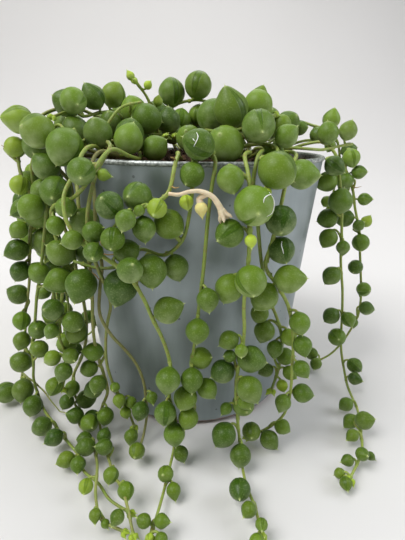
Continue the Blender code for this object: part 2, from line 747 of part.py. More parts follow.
def pearl_mesh(bm, centre, radius, root):
    """A faceted pearl whose near end is drawn out to the stem as its petiole."""
    direction = centre - root
    direction = direction / np.linalg.norm(direction)
    side = np.cross(direction, (0.23, 0.61, 0.76))
    side /= np.linalg.norm(side)
    across = np.cross(direction, side)
    if 2 * radius >= LARGE_PEARL:
        sides, rings = 5, ((-0.45, 0.9), (0.45, 0.9))
    else:
        sides, rings = 4, ((0.0, SMALL_PEARL_SWELL),)
    near = bm.verts.new(root * MM)
    far = bm.verts.new((centre + direction * radius) * MM)
    made = []
    for height, width in rings:
        ring = []
        for k in range(sides):
            angle = 2 * math.pi * k / sides
            out = side * math.cos(angle) + across * math.sin(angle)
            ring.append(bm.verts.new((centre + radius * (direction * height + out * width)) * MM))
        made.append(ring)
    for k in range(sides):
        after = (k + 1) % sides
        bm.faces.new((near, made[0][after], made[0][k]))
        for low, high in zip(made, made[1:]):
            bm.faces.new((low[k], low[after], high[after], high[k]))
        bm.faces.new((made[-1][k], made[-1][after], far))


def finished(bm, name):
    bmesh.ops.recalc_face_normals(bm, faces=bm.faces)
    mesh = bpy.data.meshes.new(name)
    bm.to_mesh(mesh)
    bm.free()
    return mesh


def unite(stem, mesh, finish):
    """Joins a mesh to the stem with a Boolean union, which also joins the mesh's own bodies."""
    added = add_object("added", mesh, finish)
    joined = stem.modifiers.new("added", "BOOLEAN")
    joined.operation = "UNION"
    joined.solver = "EXACT"
    joined.use_self = True
    joined.object = added
    whole = bpy.data.meshes.new_from_object(
        stem.evaluated_get(bpy.context.evaluated_depsgraph_get())
    )
    stem.modifiers.clear()
    stem.data = whole
    whole.name = stem.name
    bpy.data.objects.remove(added, do_unlink=True)
    return stem


def make_stem(plants, name, finish):
    """One stem with its pearls, joined into one solid by a Boolean union."""
    first, last, beads = plants.spans[name]
    roots = plants.roots()
    bm = bmesh.new()
    stem_mesh(bm, plants.joint[first:last])
    stem = add_object(name, finished(bm, name), finish)
    if not beads:
        return stem
    bm = bmesh.new()
    for k in beads:
        pearl_mesh(bm, plants.pearl[k], plants.radius[k], roots[k])
    return unite(stem, finished(bm, "pearls"), finish)


def make_stalk(plants, finish):
    """The dried flower stalk, which springs from the front arch and bends over to its tip."""
    first, last, _ = plants.spans["front_arch"]
    arch = plants.joint[first:last]
    place = STALK_ALONG / route_step(arch)
    joint = int(place)
    start = arch[joint] + (arch[joint + 1] - arch[joint]) * (place - joint)
    path = [start + np.array(STALK_OFFSET)]
    path += [start + np.array(bend) for bend in STALK_BENDS]
    path = smooth_route(path, 2.5)
    bm = bmesh.new()
    stem_mesh(bm, path)
    stalk = add_object("dried_flower_stalk", finished(bm, "dried_flower_stalk"), finish)
    bud = start + np.array(STALK_BUD)
    nearest = path[np.argmin(np.linalg.norm(path - bud, axis=1))]
    bm = bmesh.new()
    pearl_mesh(bm, bud, STALK_BUD_SIZE / 2, nearest)
    return unite(stalk, finished(bm, "bud"), finish)


def main():
    clear_scene()
    make_pot(material("zinc", ZINC, 0.45, 0.6))
    make_soil(material("soil", SOIL_BROWN, 0.95))
    leaf = material("pearl_leaf", GREEN, 0.4)
    stems = all_stems()
    plants = settle(Plants(stems))
    for name, _, _ in stems:
        make_stem(plants, name, leaf)
    make_stalk(plants, material("dried_stalk", DRIED, 0.8))


main()
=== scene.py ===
# %% [markdown]
# # A potted string of pearls
#
# String of pearls is a trailing succulent. Each leaf has swollen into a ball that stores water,
# with a short stalk at one end and a tiny pale point at the other. A narrow clear strip, the
# window, runs from the point along one side and lets light into the ball. Here it grows in a
# tapered sheet-metal pot, hangs over the rim and lies along the surface that the pot stands on.
#
# The scene is built round a fixed frame of plain solids, one for each rooted stem, the pot and
# the soil. Every solid is replaced here by a detailed piece in the same place.

# %% Load the frame
import math

import bpy
import numpy as np
from mathutils import Matrix, Vector, noise


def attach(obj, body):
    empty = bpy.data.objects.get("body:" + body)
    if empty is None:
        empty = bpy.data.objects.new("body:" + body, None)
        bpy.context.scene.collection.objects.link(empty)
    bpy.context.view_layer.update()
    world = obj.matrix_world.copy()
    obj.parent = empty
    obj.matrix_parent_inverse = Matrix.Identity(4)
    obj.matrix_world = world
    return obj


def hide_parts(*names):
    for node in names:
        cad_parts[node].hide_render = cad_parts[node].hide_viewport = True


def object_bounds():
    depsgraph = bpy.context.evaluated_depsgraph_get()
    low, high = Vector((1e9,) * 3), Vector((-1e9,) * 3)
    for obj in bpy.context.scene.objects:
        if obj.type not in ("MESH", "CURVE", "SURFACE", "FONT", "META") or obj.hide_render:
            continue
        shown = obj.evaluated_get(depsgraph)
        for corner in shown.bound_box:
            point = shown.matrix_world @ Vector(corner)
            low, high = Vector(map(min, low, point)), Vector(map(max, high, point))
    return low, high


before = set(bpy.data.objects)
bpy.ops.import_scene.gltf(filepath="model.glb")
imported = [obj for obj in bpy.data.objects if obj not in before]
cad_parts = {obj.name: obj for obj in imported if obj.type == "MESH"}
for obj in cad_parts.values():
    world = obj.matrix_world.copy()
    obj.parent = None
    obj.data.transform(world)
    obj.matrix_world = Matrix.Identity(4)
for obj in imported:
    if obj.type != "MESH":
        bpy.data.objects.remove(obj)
frame_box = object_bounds()
MM = 0.001
frame_size = [round(v / MM, 1) for v in frame_box[1] - frame_box[0]]
print("frame:", len(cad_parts), "nodes,", frame_size, "mm")

# %% [markdown]
# ## Camera
#
# The camera stands close, a hand's width from the rim, and looks down on it by about 19 degrees.
# It could be aimed with a constraint, but a matrix built from three directions says exactly where
# it looks and keeps the small roll of a camera held by hand.

# %% Camera
CAMERA_PLACE = Vector((4.1, -169.5, 106.0)) * MM
CAMERA_PITCH = math.radians(-18.8)
CAMERA_ROLL = math.radians(0.66)
FOCAL_LENGTH = 27.33  # for a picture whose long side is a 36 mm sensor

ahead = Vector((0, math.cos(CAMERA_PITCH), math.sin(CAMERA_PITCH)))
level_right = Vector((1, 0, 0))
level_up = level_right.cross(ahead)
right = math.cos(CAMERA_ROLL) * level_right + math.sin(CAMERA_ROLL) * level_up
up = right.cross(ahead)
camera_data = bpy.data.cameras.new("hand_held_view")
camera_data.lens = FOCAL_LENGTH
camera = bpy.data.objects.new("hand_held_view", camera_data)
bpy.context.scene.collection.objects.link(camera)
turn = Matrix((right, up, -ahead)).transposed().to_4x4()
camera.matrix_world = Matrix.Translation(CAMERA_PLACE) @ turn
bpy.context.scene.camera = camera
print("camera", [round(v / MM, 1) for v in CAMERA_PLACE], "mm, lens", FOCAL_LENGTH)

# %% [markdown]
# ## How the plant is laid out
#
# A grower would see stems, not leaves, so the plant is written down stem by stem: the route that
# each takes from the soil to its tip, and how far along it each pearl grows and on which side.
# The stems that nobody sees from the front are grown by a rule. Then all of them are settled
# together, so that nothing is inside anything else. A physics engine could do this, but a few
# hundred rounds of pushing balls apart give the same answer each time and are easy to read.

# %% The pot's outline, in mm
POT_HEIGHT = 97.6
RIM_RADIUS = 50.0
BASE_RADIUS = 39.5
print("pot", POT_HEIGHT, "mm high,", 2 * RIM_RADIUS, "mm over its rim")

# %% The stems that show, route and pearls
# Each stem is a route from the soil to its tip, in mm, and its pearls. "54 fuu 9" is a pearl of
# 9 mm, 54 mm along the stem, on its front upper side: l r are left and right, f b front and back,
# u d up and down, and a letter given twice counts double.
STEMS = {
    "left_outer": (
        [
            (-20, 2, 98), (-27, 0, 104), (-37, -8, 112), (-45, -14, 113), (-52, -22, 109),
            (-56, -26, 103), (-58, -28, 97), (-57, -30, 91), (-53, -32, 84), (-56, -32, 69),
            (-59, -30, 52), (-63, -28, 39), (-65, -27, 26), (-68, -26, 14), (-71, -25, 2),
        ],
        "54 fuu 9, 63 ruu 7, 66 fdd 6.5, 85 lff 6, 87 ruu 10, 94 ruu 10, 96 fuu 7.5, 98 fd 7, "
        "118 luu 7.5, 119 fd 6.5, 128 fd 6.5, 137 fd 8, 152 rffd 8.5, 162 lfdd 8.5",
    ),
    "left_diagonal": (
        [
            (-30, -12, 96), (-41, -22, 104), (-41, -36, 97), (-44, -40, 89), (-46, -40, 80),
            (-49, -38, 69), (-52, -36, 58), (-55, -35, 48), (-57, -34, 38), (-60, -33, 27),
            (-61, -32, 17), (-62, -31, 7), (-56, -37, 2), (-46, -49, 2), (-36, -60, 2),
            (-28, -70, 2), (-20, -78, 2), (-16, -80, 2),
        ],
        "41 llu 8.5, 42 u 8.5, 46 ruu 9.5, 50 u 8, 79 u 7.5, 102 ruu 7, 105 rrf 6.5, "
        "111 ruu 5.5, 127 fd 7.5, 147 llf 7, 155 lfu 6, 167 llf 5.5, 168 ffu 5",
    ),
    "left_inner": (
        [
            (-18, -22, 97), (-20, -32, 100), (-22, -42, 100), (-24, -50, 100), (-25, -56, 97),
            (-27, -58, 92), (-33, -55, 88), (-39, -52, 86), (-41, -50, 82), (-40, -50, 74),
            (-38, -50, 67), (-40, -49, 58), (-42, -48, 48), (-42, -47, 37), (-43, -46, 27),
            (-45, -45, 19),
        ],
        "12 rrf 8, 36 lfd 7.5, 40 rru 3.5, 58 rrf 6, 60 rfd 5.5, 76 lfd 8, 79 u 8.5, 96 rrf 7, "
        "97 fuu 7, 97 lfd 5, 112 buu 7, 112 ffd 6, 112 rfu 5.5, 113 lu 5.5, 121 lff 6",
    ),
    "front_long": (
        [
            (-26, -26, 96), (-29, -43, 101), (-34, -58, 84), (-31, -60, 77), (-25, -62, 74),
            (-21, -63, 72), (-18, -64, 70), (-14, -64, 66), (-11, -63, 57), (-7, -61, 46),
            (-5, -60, 36), (-4, -59, 24), (-4, -58, 14), (-5, -57, 3), (-6, -65, 2), (-7, -74, 2),
            (-8, -81, 2), (-9, -87, 2),
        ],
        "8 uu 9, 54 luu 5.5, 54 ruu 6, 55 rfu 5.5, 64 u 7, 66 rrffu 7, 71 rbu 9, 84 rruu 8, 99 fd 7.5, "
        "113 lfd 7, 121 fd 7, 132 rfd 5, 147 fuu 5, 149 rf 4.5, 164 lu 4, 164 ru 4, 167 rrf 3.5",
    ),
    "front_arch": (
        [
            (-3, -34, 96), (-4, -44, 100), (-2, -54, 98), (-4, -57, 93), (-6, -59, 89),
            (-9, -61, 87), (-13, -62, 86), (-18, -62, 83), (-23, -61, 81), (-25, -60, 78),
        ],
        "32 lfd 5.5, 35 ll 8, 37 lfd 3, 41 fd 6.5, 42 fd 5.5, 44 luu 7.5, 49 rfdd 6.5",
    ),
    "front_return": (
        [
            (1, -32, 97), (0, -44, 100), (2, -54, 96), (1, -56, 89), (0, -57, 81), (-3, -58, 74),
            (-7, -59, 70), (-11, -59, 71), (-14, -58, 72.5), (-19, -57, 69), (-25, -56, 67),
            (-30, -55, 67), (-34, -54, 69),
        ],
        "18 ffrrd 8.5, 21 fd 7, 31 lfd 4, 45 luu 8.5, 51 rddb 7.5, 69 dddf 10, 79 ddr 9.5",
    ),
    "front_centre": (
        [
            (5, -32, 97), (5, -44, 100), (5, -54, 97), (6, -57, 91), (5, -58, 84), (5, -59, 74),
            (4, -59, 64), (3, -58, 55), (2, -58, 45), (1, -57, 36), (2, -57, 27), (2, -56, 17),
        ],
        "58 rfd 6.5, 68 ffd 7, 85 ffd 7, 88 ruu 7, 92 lfd 7.5, 92 rrf 6.5, "
        "102 lff 6.5",
    ),
    "right_front": (
        [
            (12, -30, 97), (14, -42, 101), (16, -54, 98), (17, -58, 92), (17, -59, 84),
            (17, -60, 78), (17, -60, 69), (16, -60, 60), (17, -59, 48), (16, -58, 38),
            (15, -58, 30), (16, -57, 19), (17, -57, 9), (18, -59, 2), (18, -68, 2), (20, -77, 2),
            (21, -86, 2),
        ],
        "31 l 7.5, 45 u 11, 46 llu 8, 50 fuu 3.5, 53 fdd 9, 60 llbd 8.5, 80 lff 4, 81 l 6, "
        "86 lu 4, 90 ruu 8.5, 93 lu 7.5, 94 rfd 8, 101 rfu 4.5, 104 l 4, 109 u 7.5, 113 llf 8, "
        "117 ffd 7, 136 lfu 6.5, 143 lfu 4.5, 149 fuu 3.5, 151 lff 4",
    ),
    "right_second": (
        [
            (22, -22, 97), (28, -36, 100), (28, -48, 97), (27, -51, 92), (26, -53, 85),
            (25, -54, 77), (22, -54, 69), (25, -54, 64), (29, -54, 59), (32, -53, 51),
            (33, -53, 41), (34, -52, 30), (34, -51, 18), (32, -50, 10), (27, -49, 5), (22, -49, 2),
        ],
        "32 rb 9, 51 ruu 9, 58 ru 8, 62 rrf 8.5, 69 llf 8.5, 76 rfd 6.5, 84 rfd 6, 93 rfd 5.5, "
        "107 lfd 5.5, 110 rru 6.5, 125 rrf 5.5, 130 rf 6.5, 134 rfu 6.5",
    ),
    "right_short": (
        [
            (18, -28, 97), (22, -42, 100), (19, -52, 93), (20, -53, 83), (21, -52, 72),
            (23, -50, 64), (25, -49, 55), (29, -48, 48), (31, -48, 40), (31, -47, 31),
            (29, -46, 20),
        ],
        "70 lld 6, 77 lld 7, 78 rfd 5.5, 82 lfd 5.5, 94 ruu 6, 95 rrf 5, 97 llu 5, 98 rfd 4",
    ),
    "far_right_long": (
        [
            (30, 2, 96), (43, 0, 101), (51, -2, 102), (56, -5, 96), (58, -6, 84), (60, -7, 71),
            (61, -8, 56), (63, -9, 43), (64, -10, 30), (65, -10, 18), (67, -11, 8), (67, -20, 2),
            (66, -34, 2), (62, -49, 2), (59, -57, 2), (52, -67, 2),
        ],
        "30 lfd 7.5, 42 l 8, 53 llb 8, 53 luu 9.5, 62 fd 5.5, 62 l 7.5, 77 llf 7.5, 95 f 6, "
        "95 llf 7, 107 lfu 7.5, 118 rrf 6.5, 126 rfu 5.5, 142 l 5.5, 151 llf 5.5, 156 u 6.5, "
        "161 llu 4.5, 168 rrf 3, 171 fuu 4.5, 174 llu 4, 182 l 3.5, 182 llf 4",
    ),
    "far_right_back": (
        [
            (30, 12, 96), (42, 12, 101), (52, 12, 104), (59, 12, 98), (67, 10, 87), (70, 9, 76),
            (73, 8, 65), (75, 7, 52), (77, 6, 37), (77, 5, 26), (73, 4, 16), (67, 3, 7),
            (59, 2, 2),
        ],
        "42 ruu 7.5, 45 rru 6, 51 luu 7, 55 rrf 5.5, 65 l 8, 67 rru 5, 70 fd 7.5, 70 luu 5, "
        "85 lf 6.5, 100 fuu 6.5, 109 ru 6.5, 110 lfd 4, 138 llf 5.5, 138 llu 6",
    ),
    "right_stub": (
        [
            (22, -10, 97), (30, -20, 100), (36, -28, 101), (44, -22, 100), (51, -17, 101),
            (58, -14, 102),
        ],
        "40 luu 7.5, 46 uu 6.5",
    ),
    "side_right": (
        [
            (12, 4, 97), (24, 6, 103), (37, 8, 110.5), (51.5, 14, 108), (59.5, 17, 105.5),
            (64, 19, 98), (64, 19, 86), (62, 18, 74),
        ],
        "33 ffd 6, 44 ddf 6.5, 52 uu 7.5, 58 llfd 5, 65 rfu 6.5, 71 lfu 6, 77 rf 5.5, 84 lf 5",
    ),
    "top_left": (
        [
            (-18, 8, 97.5), (-22, 4, 108), (-30, -4, 111), (-38, -14, 110), (-38, -24, 109),
            (-42, -30, 107),
        ],
        "23 u 9, 31 fuu 8.5, 39 lluuf 9.3, 45 ffu 8.5",
    ),
    "upright_left": (
        [
            (-26, -20, 97), (-29, -32, 99), (-29, -30, 106), (-27, -27, 110), (-22, -24, 114),
            (-17, -20, 115),
        ],
        "34 rbdd 10",
    ),
    "young_shoot": (
        [
            (-13, -4, 98), (-16, -8, 112), (-17, -10, 116), (-18, -12, 119), (-20, -13, 122),
        ],
        "19 r 3.5, 25 r 3, 27 lu 3",
    ),
    "top_back": (
        [
            (-8, 14, 98), (-8, 16, 110), (-11, 12, 115), (-3, 12, 117), (5, 12, 117),
            (14, 12, 116), (23, 12, 113),
        ],
        "17 u 11, 27 ruu 11, 55 ruu 7.5",
    ),
    "top_centre": (
        [
            (2, -8, 98), (1, -18, 104), (4, -26, 106), (10, -35, 105.5), (17, -36, 107),
            (24, -32, 110), (27, -26, 111),
        ],
        "18 llffd 8.5, 22 rbbuu 11, 31 ffdd 11.5, 33 buu 11, 41 rffdd 10, 50 lbu 9.5, 54 rbd 7",
    ),
    "top_right": (
        [
            (12, -16, 98), (19, -32, 102), (24, -41, 103), (23.5, -50, 98.5), (21, -55.5, 91),
        ],
        "22 rd 7, 28 rrb 7, 37 lffdd 10.5",
    ),
    "left_crown": (
        [
            (-25, -10, 97), (-31, -24, 105), (-33.5, -36, 103), (-37.5, -38, 105.5),
            (-42, -33, 107), (-45, -31, 105),
        ],
        "29 fdd 11, 43 ffd 10.5",
    ),
    "woody_left": (
        [
            (-20, -30, 96), (-27, -43, 100.5), (-27, -52, 88), (-28, -53, 75), (-28, -53, 64),
            (-27, -54, 56), (-26, -54, 49), (-21, -53, 40), (-16, -51, 30), (-15, -50, 20),
            (-15, -48, 10), (-17, -51, 2), (-17, -57, 2),
        ],
        "9 ruu 9, 101 rf 4, 103.5 lfd 6, 130 fu 5.5",
    ),
    "left_fourth": (
        [
            (-28, -24, 96), (-41, -31, 102), (-34, -47, 89), (-32, -49, 76), (-31, -49, 67),
            (-31, -48, 57), (-32, -47, 46), (-32, -46, 35), (-30, -45, 24), (-29, -45, 18),
            (-32, -44, 10), (-35, -43, 2), (-29, -55, 2), (-24, -66, 2), (-20, -76, 2),
            (-17, -83, 2), (-14, -88, 2),
        ],
        "9 luu 9, 54 u 9, 98 luu 6.5, 101 llf 6, 105 lfu 6, 109 l 6.5, 116 fd 6, 122 lfd 6, 140 u 5, "
        "145 luu 5.5, 151 ffu 5, 160 rfu 5, 171 lfu 4",
    ),
    "left_fifth": (
        [
            (-34, -16, 96), (-46, -22, 102), (-41, -42, 90), (-38, -44, 74), (-37, -43, 62),
            (-36, -42, 51), (-36, -41, 42), (-38, -40, 31), (-43, -39, 20), (-44, -38, 11),
            (-41, -38, 3), (-36, -46, 2), (-32, -58, 2), (-28, -69, 2), (-26, -78, 2),
            (-23, -84, 2), (-17, -86, 2),
        ],
        "8 uu 8.5, 50 rru 4.5, 58 rfd 7.5, 86 lfd 7.5, 103 luu 5.5, 111 fd 5.5, 118 fd 5.5, 127 ruu 7, "
        "134 luu 6, 137 ruu 6.5, 147 lu 5, 152 luu 6, 164 lfu 4.5, 176 rf 2.5, 178 lu 3.5",
    ),
    "left_sixth": (
        [
            (-24, -18, 96), (-25, -45, 100.5), (-28, -54, 90), (-29, -58, 78), (-27, -56, 67),
            (-27, -53, 55), (-27, -52, 44), (-28, -50, 32), (-27, -49, 24), (-25, -48, 18),
            (-22, -48, 13), (-20, -47, 4),
        ],
        "9 ruu 9.5, 114 rfd 4.5, 115 fuu 3.5, 119 rrf 4, 120 rfd 4, 131 fd 5",
    ),
}
print(len(STEMS), "stems placed one by one")

# %% [markdown]
# ## The stems behind and on the soil
#
# All round the rest of the rim, stems hang much alike, and shorter ones sprawl over the soil. Each
# could be placed by hand too, but one line of numbers for a rule is enough, and leaves that spring
# by turns from both sides of a stem need no list.

# %% The stems on the sides, the back and the soil
# Stems on the sides and the back, by rule: azimuth in degrees, how far the stem leans out past
# the rim in mm, the height its tip hangs at, and the turn of its tail along the surface.
HANGING = {
    "behind_left_1": (188, 9, 34, 0),
    "behind_left_2": (197, 6, 22, 0),
    "behind_left_3": (206, 7, 20, 0),
    "side_left": (178, 6, 0, -4),
    "back_1": (168, 12, 30, 0),
    "back_2": (156, 5, 0, 4),
    "back_3": (145, 11, 46, 0),
    "back_4": (133, 5, 0, -4),
    "back_5": (121, 12, 0, -6),
    "back_6": (109, 5, 36, 0),
    "back_7": (97, 11, 0, -8),
    "back_8": (85, 5, 18, 0),
    "back_9": (73, 12, 0, -6),
    "back_10": (61, 6, 40, 0),
    "back_11": (49, 11, 0, 5),
    "back_12": (37, 5, 26, 0),
}

# Stems that stay on the soil, by rule: azimuth and radius where the stem roots, and how far
# round the pot it runs, in degrees.
LOUNGING = {
    "crown_1": (20, 24, 70),
    "crown_2": (90, 21, 60),
    "crown_3": (145, 24, 60),
    "crown_4": (110, 10, 140),
    "crown_5": (335, 28, 60),
    "crown_6": (300, 13, 85),
    "crown_7": (35, 9, 110),
    "crown_8": (180, 17, 70),
    "crown_9": (350, 16, 50),
}
LETTERS = {
    "l": (-1, 0, 0), "r": (1, 0, 0), "f": (0, -1, 0), "b": (0, 1, 0), "u": (0, 0, 1),
    "d": (0, 0, -1),
}
print(len(HANGING), "hanging and", len(LOUNGING), "sprawling stems by rule")

# %% Pot wall and soil as heights and radii
SOIL_EDGE_DEPTH = 3.2
SOIL_MOUND = 3.0  # how much higher the soil is in the middle than at its edge


def wall_radius(height):
    return BASE_RADIUS + (RIM_RADIUS - BASE_RADIUS) * height / POT_HEIGHT


def soil_top(radius):
    """Height of the soil at a distance from the pot's axis."""
    edge = POT_HEIGHT - SOIL_EDGE_DEPTH
    return edge + SOIL_MOUND * (1 - (radius / RIM_RADIUS) ** 2)


soil_heights = [round(soil_top(radius), 1) for radius in (0, RIM_RADIUS)]
print("soil", soil_heights, "mm high in the middle and at its edge")

# %% From a route's few points to an even, smooth line
def route_length(route):
    points = np.array(route, float)
    return float(np.linalg.norm(np.diff(points, axis=0), axis=1).sum())


def route_step(path):
    return float(np.linalg.norm(np.diff(path, axis=0), axis=1).mean())


def smooth_route(route, step):
    """Points about step apart along a smooth curve through the route's own points."""
    knots = np.array(route, float)
    knots = np.vstack([2 * knots[0] - knots[1], knots, 2 * knots[-1] - knots[-2]])
    fine = []
    for a, b, c, d in zip(knots, knots[1:], knots[2:], knots[3:]):
        for t in np.arange(0, 1, 0.125):
            fine.append(
                0.5
                * (
                    2 * b
                    + (c - a) * t
                    + (2 * a - 5 * b + 4 * c - d) * t**2
                    + (3 * b - a - 3 * c + d) * t**3
                )
            )
    fine.append(knots[-2])
    fine = np.array(fine)
    run = np.concatenate([[0], np.cumsum(np.linalg.norm(np.diff(fine, axis=0), axis=1))])
    count = max(2, round(run[-1] / step))
    even = np.linspace(0, run[-1], count + 1)
    return np.stack([np.interp(even, run, fine[:, k]) for k in range(3)], axis=1)


longest = max(STEMS, key=lambda name: route_length(STEMS[name][0]))
print("the longest stem is", longest, "with", round(route_length(STEMS[longest][0])), "mm")

# %% Routes by rule
def polar(azimuth, radius, height):
    angle = math.radians(azimuth)
    return (radius * math.cos(angle), radius * math.sin(angle), height)


def hanging_stem(azimuth, lean, tip, turn):
    """Route and pearls of a stem that comes over the rim and hangs, or runs on along the
    surface when its tip height is 0."""
    reach = RIM_RADIUS + lean
    route = [
        polar(azimuth - 6, 30, 97),
        polar(azimuth - 2, 44, 102.5),
        polar(azimuth, RIM_RADIUS + 0.6 * lean, 103),
        polar(azimuth, reach + 3, 94),
        polar(azimuth, reach + 3, 72),
        polar(azimuth, reach + 1, 48),
        polar(azimuth, reach + 1, max(tip, 26)),
    ]
    if tip == 0:
        route += [
            polar(azimuth, reach + 2, 8),
            polar(azimuth + 0.3 * turn, reach + 9, 2),
            polar(azimuth + turn, reach + 22, 2),
        ]
    pearls = []
    length = route_length(route)
    along = 19.0
    count = 0
    while along < length - 1:
        share = along / length
        size = 9.6 - 4.2 * share + 0.8 * math.sin(2.3 * count + azimuth)
        side = math.radians(azimuth + (74 if count % 2 else -74) + 30 * math.sin(1.7 * count))
        lift = 0.75 if share < 0.25 else -0.25
        if tip == 0 and share > 0.8:
            lift = 0.35
        pearls.append((along, (math.cos(side), math.sin(side), lift), round(size, 1)))
        along += 0.9 * size + 3.3
        count += 1
    return route, pearls


def lounging_stem(azimuth, radius, run):
    """Route and pearls of a stem that lies over the soil inside the rim."""
    route = [
        polar(azimuth, radius, soil_top(radius) + 1.5),
        polar(azimuth + 0.1 * run, radius + 1, 104),
        polar(azimuth + 0.4 * run, radius + 5, 107),
        polar(azimuth + 0.7 * run, radius + 7, 106),
        polar(azimuth + run, radius + 9, 104),
    ]
    pearls = []
    length = route_length(route)
    along = 8.0
    count = 0
    while along < length:
        size = 9.0 + 0.9 * math.sin(2.1 * count + radius)
        side = math.radians(azimuth + run * along / length + (90 if count % 2 else -90))
        pearls.append((along, (0.6 * math.cos(side), 0.6 * math.sin(side), 0.8), round(size, 1)))
        along += 0.8 * size + 1.5
        count += 1
    return route, pearls


route, pearls = hanging_stem(*HANGING["back_1"])
print("back_1:", round(route_length(route)), "mm with", len(pearls), "pearls")

# %% Read every stem
def read_pearls(text):
    """Turns "54 fuu 9, ..." into (along, direction, size)."""
    pearls = []
    for item in text.split(","):
        along, letters, size = item.split()
        direction = np.sum([LETTERS[c] for c in letters], axis=0)
        pearls.append((float(along), tuple(direction), float(size)))
    return pearls


def all_stems():
    """Every stem's name, route and pearls, in one order."""
    stems = []
    for name, (route, text) in STEMS.items():
        stems.append((name, route, read_pearls(text)))
    for name, values in HANGING.items():
        stems.append((name, *hanging_stem(*values)))
    for name, values in LOUNGING.items():
        stems.append((name, *lounging_stem(*values)))
    return stems


stems = all_stems()
print(len(stems), "stems with", sum(len(pearls) for _, _, pearls in stems), "pearls")

# %% [markdown]
# ## Settling
#
# Each stem becomes a row of points about as far apart as a pearl is wide, and each pearl one ball
# held to its stem. Joints and the middles between them count as small balls too.

# %% Points for every joint and pearl
STEP = 7.5  # mm between the joints of a stem
STEM_RADIUS = 0.75
PETIOLE = 1.6  # mm from a stem to the skin of its pearl
GAP = 0.4  # mm left between any two balls
PLACED_GIVE = 0.3  # how easily a stem placed one by one is moved, where a stem by rule has 1


class Plants:
    """The stems' joints and the pearls as points, with what holds them together."""

    def __init__(self, stems):
        joints, pearls = [], []
        give = [PLACED_GIVE if name in STEMS else 1.0 for name, _, _ in stems]
        self.spans = {}
        for number, (name, route, beads) in enumerate(stems):
            path = smooth_route(route, STEP)
            path[0][2] = soil_top(math.hypot(path[0][0], path[0][1])) + STEM_RADIUS + GAP
            first = len(joints)
            joints += [(p, number) for p in path]
            step = route_step(path)
            beads_here = []
            for along, direction, size in beads:
                place = min(along / step, len(path) - 1.001)
                joint = int(place)
                share = place - joint
                root = path[joint] * (1 - share) + path[joint + 1] * share
                direction = np.array(direction, float)
                direction /= np.linalg.norm(direction)
                centre = root + direction * (size / 2 + PETIOLE)
                beads_here.append(len(pearls))
                pearls.append((centre, size / 2, first + joint, share, number))
            self.spans[name] = (first, len(joints), beads_here)
        self.joint, self.joint_stem = map(np.array, zip(*joints))
        self.pearl, self.radius, self.root, self.share, self.pearl_stem = map(
            np.array, zip(*pearls)
        )
        same = self.joint_stem[:-1] == self.joint_stem[1:]
        self.links = np.nonzero(same)[0]
        self.link_length = np.linalg.norm(
            self.joint[self.links + 1] - self.joint[self.links], axis=1
        )
        self.pinned = np.concatenate([[True], ~same])
        self.give = np.array(give)

    def roots(self):
        share = self.share[:, None]
        return self.joint[self.root] * (1 - share) + self.joint[self.root + 1] * share


plants = Plants(stems)
print(len(plants.joint), "joints and", len(plants.pearl), "pearls as points")

# %% Which balls may touch, and how they part
LOOK_AHEAD = 4.0  # mm: balls this near are watched until the next search for close pairs
OWN_ROOT = 1.6  # joints: a pearl and its own stem don't push each other this near its root
OVERSHOOT = 1.25  # balls are pushed a little further than they need, so they part sooner


def close_pairs(points, room, owner, is_pearl, anchor):
    """Pairs of balls that may come to touch, leaving out a stem's own joints and a pearl's own
    root."""
    gap = points[:, None] - points[None]
    near = (gap**2).sum(2) < (room[:, None] + room[None] + LOOK_AHEAD) ** 2
    first, second = np.nonzero(np.triu(near, 1))
    same = owner[first] == owner[second]
    both_stem = ~is_pearl[first] & ~is_pearl[second]
    mixed = is_pearl[first] != is_pearl[second]
    rooted = same & mixed & (np.abs(anchor[first] - anchor[second]) < OWN_ROOT)
    keep = ~(same & both_stem) & ~rooted
    return first[keep], second[keep]


def push_apart(points, room, give, first, second):
    """How far each ball has to move so that no pair is nearer than its room. A ball that gives
    less moves less."""
    gap = points[first] - points[second]
    distance = np.maximum(np.linalg.norm(gap, axis=1), 1e-6)
    short = np.maximum(room[first] + room[second] + GAP - distance, 0)
    move = gap / distance[:, None] * short[:, None]
    share = (give[first] / (give[first] + give[second]))[:, None]
    total = np.zeros_like(points)
    count = np.zeros(len(points))
    np.add.at(total, first, move * share)
    np.add.at(total, second, move * (share - 1))
    hit = (short > 0).astype(float)
    np.add.at(count, first, hit)
    np.add.at(count, second, hit)
    return total * (OVERSHOOT / np.maximum(count, 1))[:, None]


pair = np.array([(0.0, 0.0, 0.0), (5.0, 0.0, 0.0)])
move = push_apart(pair, np.array([3.0, 3.0]), np.ones(2), np.array([0]), np.array([1]))
print("two pearls of 6 mm with middles 5 mm apart each move", round(float(move[1, 0]), 2), "mm")

# %% Keep off the pot, the soil and the surface
FLOOR = 0.3  # mm above the surface, where the lowest balls lie
BEAD_RADIUS = 1.2  # of the folded rim's round section
BEAD_DROP = 1.0  # from the top of the pot to the middle of that section


